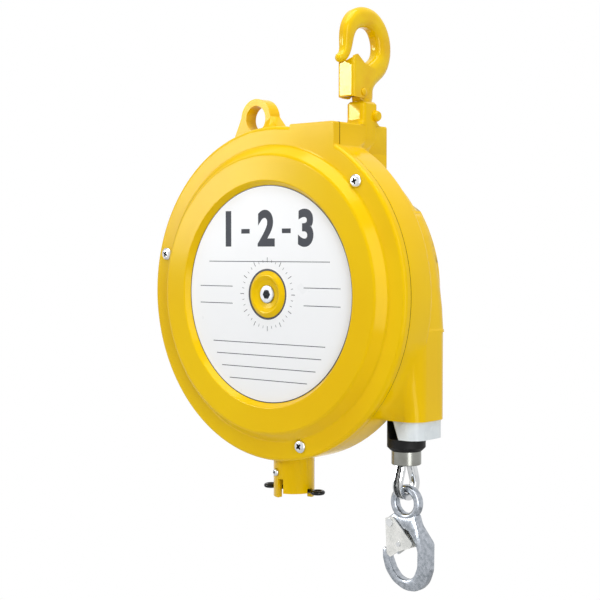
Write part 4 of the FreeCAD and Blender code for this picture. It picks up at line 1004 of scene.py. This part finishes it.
def copy_of(node: str, name: str) -> bpy.types.Object:
    """Return a linked piece with a closed copy of a solid's mesh."""
    piece = bpy.data.objects.new(name, frame["nodes"][node].data.copy())
    bpy.context.scene.collection.objects.link(piece)
    weld(piece.data)
    return piece


def carve(piece: bpy.types.Object, tools: list[tuple[str, bmesh.types.BMesh]]) -> None:
    """Cut closed shapes away from a piece, or keep only what lies in them, and keep its flat faces flat.

    Args:
        piece: The piece, whose mesh is its own.
        tools: "INTERSECT" or "DIFFERENCE" with the shape, which is freed here.
    """
    for operation, shape in tools:
        bmesh.ops.recalc_face_normals(shape, faces=shape.faces)
        mesh = bpy.data.meshes.new("carving_tool")
        shape.to_mesh(mesh)
        shape.free()
        tool = bpy.data.objects.new("carving_tool", mesh)
        bpy.context.scene.collection.objects.link(tool)
        step = piece.modifiers.new(operation.lower(), "BOOLEAN")
        step.operation = operation
        step.solver = "EXACT"
        step.object = tool
        apply_modifiers(piece)
        bpy.data.objects.remove(tool)
        bpy.data.meshes.remove(mesh)
    shade_by_angle(piece.data)
    flatten = piece.modifiers.new("flatten", "WEIGHTED_NORMAL")
    flatten.keep_sharp = True
    apply_modifiers(piece)


@dataclass
class CaseCasting:
    """The main casting: its outlet crown drawn in, its hook boss run down to the drum case, and the joint.

    Args:
        finishes: The finishes to dress it in.
        drum_case: Radius of the round case behind the rim.
        inner: Radius that the outlet's crown reaches in to, inside the drum case's wall.
        rim: Radius of the rim.
        split: Depth of the joint between casting and cover.
        rim_back: Depth of the rim's back face.
        boss: Left, right and top of the hook boss.
        outlet: Right side, front and back of the rope outlet.
        outlet_round: Radius of the outlet's upright edges.
    """

    finishes: Finishes
    drum_case: float = 103.9
    inner: float = 101.6
    rim: float = 115.5
    split: float = 9.5
    rim_back: float = 32.6
    boss: tuple[float, float, float] = (17.8, 56.4, 115.7)
    outlet: tuple[float, float, float] = (111.2, 22.0, 58.5)
    outlet_round: float = 11.0

    def crown_cutter(self) -> bmesh.types.BMesh:
        """Return everything outside the drum case above the outlet's step, behind the rim."""
        circle = [(self.drum_case * math.cos(math.radians(a)), self.drum_case * math.sin(math.radians(a)))
                  for a in range(-12, 41, 2)]
        outline = [(130.0, -23.0), (circle[0][0], -23.0)] + circle + [(80.0, 95.0), (130.0, 95.0)]
        shape = bmesh.new()
        prism(shape, outline, self.rim_back, 75.0)
        return shape

    def crown(self) -> bpy.types.Object:
        """Make the crown over the outlet: rings that narrow upwards until they die out on the case."""
        side, front, back = self.outlet
        plan = rounded([(85.0, front), (side, front, self.outlet_round), (side, back, self.outlet_round),
                        (85.0, back)], 12)
        outline = rounded([(side, -24.0), (side, -22.6, 1.0), (110.4, -21.4, 1.0), (109.2, -8.0, 30.0),
                           (106.2, 8.0, 30.0), (102.9, 21.0, 30.0), (97.0, 40.0, 26.0), (90.4, 53.0, 5.0),
                           (84.0, 58.5)], 12)
        shape = bmesh.new()
        rings = []
        for right, z in outline:
            left = math.sqrt(self.inner ** 2 - z ** 2)
            rings.append(add_ring(shape, [
                PLACE.at(left + max(x - left, 0.0) * max(right - left, 0.3) / (side - left), y, z)
                for x, y in plan]))
        bridge(shape, rings)
        cap(shape, rings)
        return mesh_piece("outlet_crown", shape, self.finishes.made["case_paint"], degrees=50.0)

    def boss_foot(self) -> bmesh.types.BMesh:
        """Return the lower part of the hook boss."""
        left, right, _ = self.boss
        shape = bmesh.new()
        foot, top = 77.0, 96.0
        prism(shape, [(left, foot), (right, foot), (right, top), (left, top)], self.split + 3.0, 61.0)
        return shape

    def joint(self) -> None:
        """Lay a thin dark strip all along the joint: painted shade that stands for the shadow in the seam."""
        left, right, top = self.boss
        proud = 0.06
        half = 0.25
        shape = bmesh.new()
        lid = rounded([(left - proud, 100.0), (right + proud, 100.0), (right + proud, top + proud, 1.5),
                       (left - proud, top + proud, 1.0)])
        prism(shape, lid, self.split - half, self.split + half)
        inner = self.rim - 1.2
        outer = self.rim - 0.35
        section = [(inner, -half), (outer, -half), (outer, half), (inner, half)]
        rings = [add_ring(shape, [PLACE.polar(radius, 2 * k, self.split + depth) for k in range(180)])
                 for radius, depth in section]
        bridge(shape, rings, closed=True)
        piece = mesh_piece("joint_shade_strip", shape, self.finishes.made["joint_shade"])
        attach(piece, "case")
        log.info("joint shade strip")

    def build(self) -> None:
        """Make the casting from a copy of its solid."""
        piece = copy_of("main_case", "case_casting")
        carve(piece, [("DIFFERENCE", self.crown_cutter())])
        foot = mesh_piece("boss_foot", self.boss_foot(), self.finishes.made["case_paint"])
        for part in (piece, self.crown(), foot):
            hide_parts("main_case")
            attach(part, "case")
        log.info("case casting, %d faces", len(piece.data.polygons))


@dataclass
class LatchRivet:
    """The latch's rivet with a low painted dome on each side.

    Args:
        finishes: The finishes to dress it in.
        shank: Radius of the shank.
        head: Radius of the heads.
        rise: Height of the heads.
    """

    finishes: Finishes
    shank: float = 2.2
    head: float = 2.7
    rise: float = 1.25

    def build(self) -> None:
        """Turn the rivet in place of the plain pin."""
        low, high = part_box("latch_rivet")
        centre = (low + high) / 2
        half = (high.x - low.x) / MM / 2 - 1.3
        turn = math.radians(90)
        edge = 0.25
        dome = [(self.head * math.cos(turn * k / 8),
                 half + edge + (self.rise - edge) * math.sin(turn * k / 8))
                for k in range(9)]
        right = [(0.0, 0.0), (self.shank, 0.0), (self.shank, half), (self.head, half)]
        right += dome[:-1] + [(0.0, dome[-1][1])]
        shape = bmesh.new()
        for way in (1, -1):
            lathe(shape, right, Matrix.Translation(centre) @ Matrix.Rotation(way * turn, 4, "Y"), 40)
        piece = mesh_piece("painted_rivet", shape, self.finishes.made["hook_paint"])
        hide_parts("latch_rivet")
        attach(piece, "hanger")
        log.info("latch rivet")


@dataclass
class Nozzle:
    """The white nozzle with its front corner slanted away, so that the bumper's high wall stands free.

    Args:
        finishes: The finishes to dress it in.
        top: Height of the outlet's end.
        end: Height of the nozzle's end.
    """

    finishes: Finishes
    top: float = -82.0
    end: float = -94.3

    def wedge(self) -> bmesh.types.BMesh:
        """Return the corner that is taken away, wider at the bottom."""
        left, front = 78.0, 20.0
        shape = bmesh.new()
        rings = [add_ring(shape, [PLACE.at(93.7 + shift, front, z), PLACE.at(left, 38.1 + 1.15 * shift, z),
                                  PLACE.at(left, front, z)])
                 for z, shift in ((self.top + 0.01, 0.0), (self.end - 1.0, 4.7))]
        bridge(shape, rings)
        cap(shape, rings)
        return shape

    def build(self) -> None:
        """Make the nozzle from a copy of its solid."""
        piece = copy_of("rope_nozzle", "nozzle_moulding")
        carve(piece, [("DIFFERENCE", self.wedge())])
        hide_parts("rope_nozzle")
        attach(piece, "case")
        log.info("nozzle")


@dataclass
class SnapForging:
    """The drop-forged snap hook: round eye, narrow neck, square shoulder, straight back, bowl and nose.

    Args:
        finishes: The finishes to dress it in.
        thick: Thickness of the flat forging in millimetres.
        chamfer: Width of the chamfer along its edges.
        hole: Radius of the eye's hole.
        outer: Outer radius of the eye.
        eye_from_pin: How far right of and above the gate's rivet the eye's centre lies.
        square: Power that squares the eye's section; 1 is round.
    """

    finishes: Finishes
    thick: float = 7.2
    chamfer: float = 1.3
    hole: float = 7.0
    outer: float = 12.0
    eye_from_pin: tuple[float, float] = (10.7, 14.1)
    square: float = 0.8

    def outline(self) -> list[tuple[float, float]]:
        """Return the side view below the eye, from the nose round the bowl and back along the mouth."""
        return rounded([
            # nose and outside of the bowl
            (-18.1, -32.0, 1.9), (-18.0, -39.0, 8.0), (-15.6, -47.0, 14.0), (-9.4, -54.2, 14.0),
            (0.0, -58.9, 16.0), (10.8, -58.2, 16.0), (17.6, -51.6, 14.0), (20.6, -43.0, 12.0),
            # straight back and neck
            (20.8, -25.0, 5.0), (11.6, -13.8, 8.0), (9.2, -6.6, 1.6), (4.0, -9.4), (-4.0, -9.4),
            # square shoulder that carries the gate
            (-8.4, -7.6, 2.0), (-14.1, -11.6, 3.4), (-13.6, -16.6, 2.6), (-10.4, -17.6, 2.0),
            # inside of the bowl, back to the nose
            (2.6, -18.2, 4.0), (8.4, -25.6, 5.0), (10.6, -31.0, 8.0), (10.4, -42.0, 9.0),
            (7.2, -49.4, 8.0), (0.6, -52.2, 9.0), (-5.4, -50.2, 8.0), (-9.6, -45.4, 10.0),
            (-12.6, -39.0, 10.0), (-13.8, -32.0, 1.9)], 6)

    def build(self) -> None:
        """Forge the hook."""
        low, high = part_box("snap_body")
        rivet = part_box("gate_rivet")
        pin = (rivet[0] + rivet[1]) / 2
        across, up = self.eye_from_pin
        eye = Vector((pin.x + across * MM, (low.y + high.y) / 2, pin.z + up * MM))
        shape = bmesh.new()
        offset = (eye - PLACE.origin) / MM
        half = self.thick / 2
        prism(shape, [(x + offset.x, z + offset.z) for x, z in self.outline()],
              offset.y - half, offset.y + half, self.chamfer)
        middle = (self.hole + self.outer) / 2
        rings = []
        for k in range(24):
            turn = math.tau * k / 24
            wide = (self.outer - self.hole) / 2
            out = math.copysign(abs(math.cos(turn)) ** self.square, math.cos(turn)) * wide
            deep = math.copysign(abs(math.sin(turn)) ** self.square, math.sin(turn)) * half
            rings.append(add_ring(shape, [eye + Vector(((middle + out) * math.cos(a), deep,
                                                        (middle + out) * math.sin(a))) * MM
                                          for a in (math.tau * j / 72 for j in range(72))]))
        bridge(shape, rings, closed=True)
        piece = mesh_piece("snap_forging", shape, self.finishes.made["forged_zinc"], degrees=32.0)
        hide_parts("snap_body")
        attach(piece, "snap_hook")
        log.info("snap hook forging")


# ---------------------------------------------------------------- dial
@dataclass
class DialPrint:
    """Plain printing on the dial: three numerals, a ring of ticks and blank ruled lines.

    Args:
        finishes: The finishes to dress it in.
        lift: Height of the ink above the enamel in millimetres.
        size: Size of the numerals.
        bold: How far their outlines are thickened.
        narrow: Their width as a share of the font's.
        rule: Height of the ruled lines.
    """

    finishes: Finishes
    lift: float = 0.03
    size: float = 33.0
    bold: float = 1.25
    narrow: float = 0.95
    rule: float = 0.5

    def numeral(self, digits: str, x: float, z: float) -> bpy.types.Mesh:
        """Return the mesh of some bold, narrow digits, ready to be joined into the print."""
        curve = bpy.data.curves.new("numeral", "FONT")
        curve.body = digits
        curve.size = self.size * MM
        curve.align_x = "CENTER"
        curve.align_y = "CENTER"
        curve.offset = self.bold * MM
        curve.extrude = self.lift * 0.5 * MM
        text = bpy.data.objects.new("numeral", curve)
        bpy.context.scene.collection.objects.link(text)
        mesh = bpy.data.meshes.new_from_object(text)
        bpy.data.objects.remove(text)
        narrow = Matrix.Diagonal((self.narrow, 1.0, 1.0, 1.0))
        upright = Matrix.Rotation(math.pi / 2, 4, "X")
        mesh.transform(Matrix.Translation(PLACE.at(x, -self.lift * 0.5, z)) @ upright @ narrow)
        return mesh

    def bar(self, shape: bmesh.types.BMesh, x: float, z: float, width: float, height: float,
            turn: float = 0.0) -> None:
        """Add one flat printed bar, turned about the depth axis by some degrees."""
        place = Matrix.Translation(PLACE.at(x, 0.0, z)) @ Matrix.Rotation(-math.radians(turn), 4, "Y")
        corners = [(-width / 2, -height / 2), (width / 2, -height / 2), (width / 2, height / 2),
                   (-width / 2, height / 2)]
        rings = [add_ring(shape, [place @ Vector((a * MM, -depth * MM, b * MM)) for a, b in corners])
                 for depth in (0.0, self.lift)]
        bridge(shape, rings)
        cap(shape, rings)

    def build(self) -> None:
        """Print the dial."""
        shape = bmesh.new()
        for digits, x in (("1", -37.0), ("2", -1.0), ("3", 35.0)):
            mesh = self.numeral(digits, x, 44.0)
            shape.from_mesh(mesh)
            bpy.data.meshes.remove(mesh)
        for x in (-20.5, 17.5):
            self.bar(shape, x, 43.5, 8.0, 3.2)
        for degrees in range(0, 360, 10):
            length, height = (3.4, 0.45) if degrees % 30 == 0 else (2.0, 0.3)
            radius = 22.0 + length / 2
            angle = math.radians(degrees)
            self.bar(shape, radius * math.cos(angle), radius * math.sin(angle), length, height, degrees)
        for row, width in enumerate((104.0, 97.0, 87.0, 72.0)):
            self.bar(shape, 0.0, -34.0 - 8.5 * row, width, self.rule)
        for z, x, width in ((22.5, 0.0, 112.0), (5.0, 49.0, 32.0), (-7.0, 49.0, 32.0), (5.0, -49.0, 32.0),
                            (-7.0, -49.0, 32.0)):
            self.bar(shape, x, z, width, self.rule)
        piece = mesh_piece("dial_print", shape, self.finishes.made["ink"], degrees=30.0)
        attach(piece, "case")
        log.info("dial print")


# ---------------------------------------------------------------- studio
@dataclass
class Studio:
    """Camera, pale floor, white surroundings and soft lamps.

    Args:
        floor_drop: How far the floor lies under the balancer, in metres.
        floor_radius: Radius of the floor in metres.
        viewer: Where the camera stands, in millimetres from the dial's centre.
        lens_mm: Focal length.
        sensor_mm: Width of the sensor.
        tilt: How far the camera looks down, in degrees.
        turn: How far it looks to the left of straight in, in degrees.
        ambient: Strength of the light from all sides.
    """

    floor_drop: float = 0.42
    floor_radius: float = 1.3
    viewer: tuple[float, float, float] = (602.8, -661.0, 30.9)
    lens_mm: float = 78.0
    sensor_mm: float = 36.0
    tilt: float = 2.23
    turn: float = 40.92
    ambient: float = 0.26

    def camera(self) -> None:
        """Set up the camera: level with the dial, to the right of the front."""
        lens = bpy.data.cameras.new("camera")
        lens.sensor_width = self.sensor_mm
        lens.lens = self.lens_mm
        lens.clip_start = 0.01
        viewer = bpy.data.objects.new("camera", lens)
        viewer.location = PLACE.at(*self.viewer)
        viewer.rotation_euler = (math.radians(90 - self.tilt), 0.0, math.radians(self.turn))
        bpy.context.scene.collection.objects.link(viewer)
        bpy.context.scene.camera = viewer

    def floor(self) -> None:
        """Lay a pale round floor under the balancer."""
        low = Vector(CAD_BOUNDS[0])
        shape = bmesh.new()
        bmesh.ops.create_circle(shape, cap_ends=True, segments=96, radius=self.floor_radius)
        mesh = bpy.data.meshes.new("floor")
        shape.to_mesh(mesh)
        shape.free()
        plaster = bpy.data.materials.new("pale_plaster")
        plaster.use_nodes = True
        shader = plaster.node_tree.nodes["Principled BSDF"]
        shader.inputs["Base Color"].default_value = linear("#EFEFEE")
        shader.inputs["Roughness"].default_value = 0.8
        mesh.materials.append(plaster)
        ground = bpy.data.objects.new("floor", mesh)
        ground.location = (0.0, 0.0, low.z - self.floor_drop)
        bpy.context.scene.collection.objects.link(ground)

    def surroundings(self) -> None:
        """Make the world white where it is seen and softly grey where it lights."""
        world = bpy.data.worlds.new("surroundings")
        bpy.context.scene.world = world
        world.use_nodes = True
        tree = world.node_tree
        tree.nodes.clear()
        rays = add_node(tree, "LightPath")
        seen = add_node(tree, "Math", {"operation": "MAXIMUM"})
        tree.links.new(rays.outputs["Is Camera Ray"], seen.inputs[0])
        tree.links.new(rays.outputs["Is Transmission Ray"], seen.inputs[1])
        white = add_node(tree, "Math", {"operation": "MAXIMUM"})
        tree.links.new(seen.outputs["Value"], white.inputs[0])
        tree.links.new(rays.outputs["Is Glossy Ray"], white.inputs[1])
        light = add_node(tree, "Background", {"Color": linear("#F4F6FA"), "Strength": self.ambient})
        back = add_node(tree, "Background", {"Color": (1.0, 1.0, 1.0, 1.0), "Strength": 1.0})
        mix = add_node(tree, "MixShader", links={"Fac": white.outputs["Value"]})
        tree.links.new(light.outputs["Background"], mix.inputs[1])
        tree.links.new(back.outputs["Background"], mix.inputs[2])
        out = add_node(tree, "OutputWorld")
        tree.links.new(mix.outputs["Shader"], out.inputs["Surface"])

    def lamp(self, name: str, place: Vector, aim: Vector, size: tuple[float, float],
             power: float) -> None:
        """Hang one soft rectangular lamp.

        Args:
            name: The lamp's name.
            place: Where it hangs.
            aim: What it looks at.
            size: Its width and height in metres.
            power: Its power in watts.
        """
        data = bpy.data.lights.new(name, "AREA")
        data.shape = "RECTANGLE"
        data.size, data.size_y = size
        data.energy = power
        lamp = bpy.data.objects.new(name, data)
        lamp.location = place
        lamp.rotation_euler = (place - aim).to_track_quat("Z", "Y").to_euler()
        bpy.context.scene.collection.objects.link(lamp)

    def build(self) -> None:
        """Build the studio."""
        self.camera()
        self.floor()
        self.surroundings()
        aim = PLACE.at(0, 30, -10)
        self.lamp("key", PLACE.at(-790, -1015, 370), aim, (0.2, 0.2), 4.6)
        self.lamp("side", PLACE.at(-985, -965, 200), aim, (0.2, 0.35), 2.2)
        self.lamp("fill", PLACE.at(1100, -500, 200), aim, (0.5, 1.4), 8.5)
        self.lamp("top", PLACE.at(150, -150, 1100), aim, (1.2, 0.8), 12.0)
        bpy.context.scene.view_settings.view_transform = "Standard"
        log.info("studio ready")


def springs() -> list[Coil]:
    """Return the three springs that are wound here; the pawl's spring stays the plain solid."""
    return [
        Coil("lock_coil", "lock_spring", "case", "dark_steel", 2, 1.2, 4.0),
        Coil("gate_coil", "gate_spring", "snap_hook", "dark_steel", 1, 0.45, 1.0, Winding.CLOSE),
        Coil("latch_coil", "latch_spring", "hanger", "dark_steel", 0, 1.0, 8.5, Winding.CLOSE),
    ]


def main() -> None:
    """Build everything in order."""
    Studio().build()
    finishes = Finishes()
    finishes.dress_solids()
    rope = WireRope(finishes)
    rope.run()
    rope.wound()
    rope.eye()
    for coil in springs():
        piece = coil.build(finishes)
        if coil.node == "lock_spring":
            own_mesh(piece)
    casting = CaseCasting(finishes)
    casting.build()
    casting.joint()
    LatchRivet(finishes).build()
    Nozzle(finishes).build()
    SnapForging(finishes).build()
    screws = Screws(finishes)
    screws.cover()
    screws.lock()
    DialPrint(finishes).build()


if __name__ == "__main__":
    logging.basicConfig(level=logging.INFO)
    main()
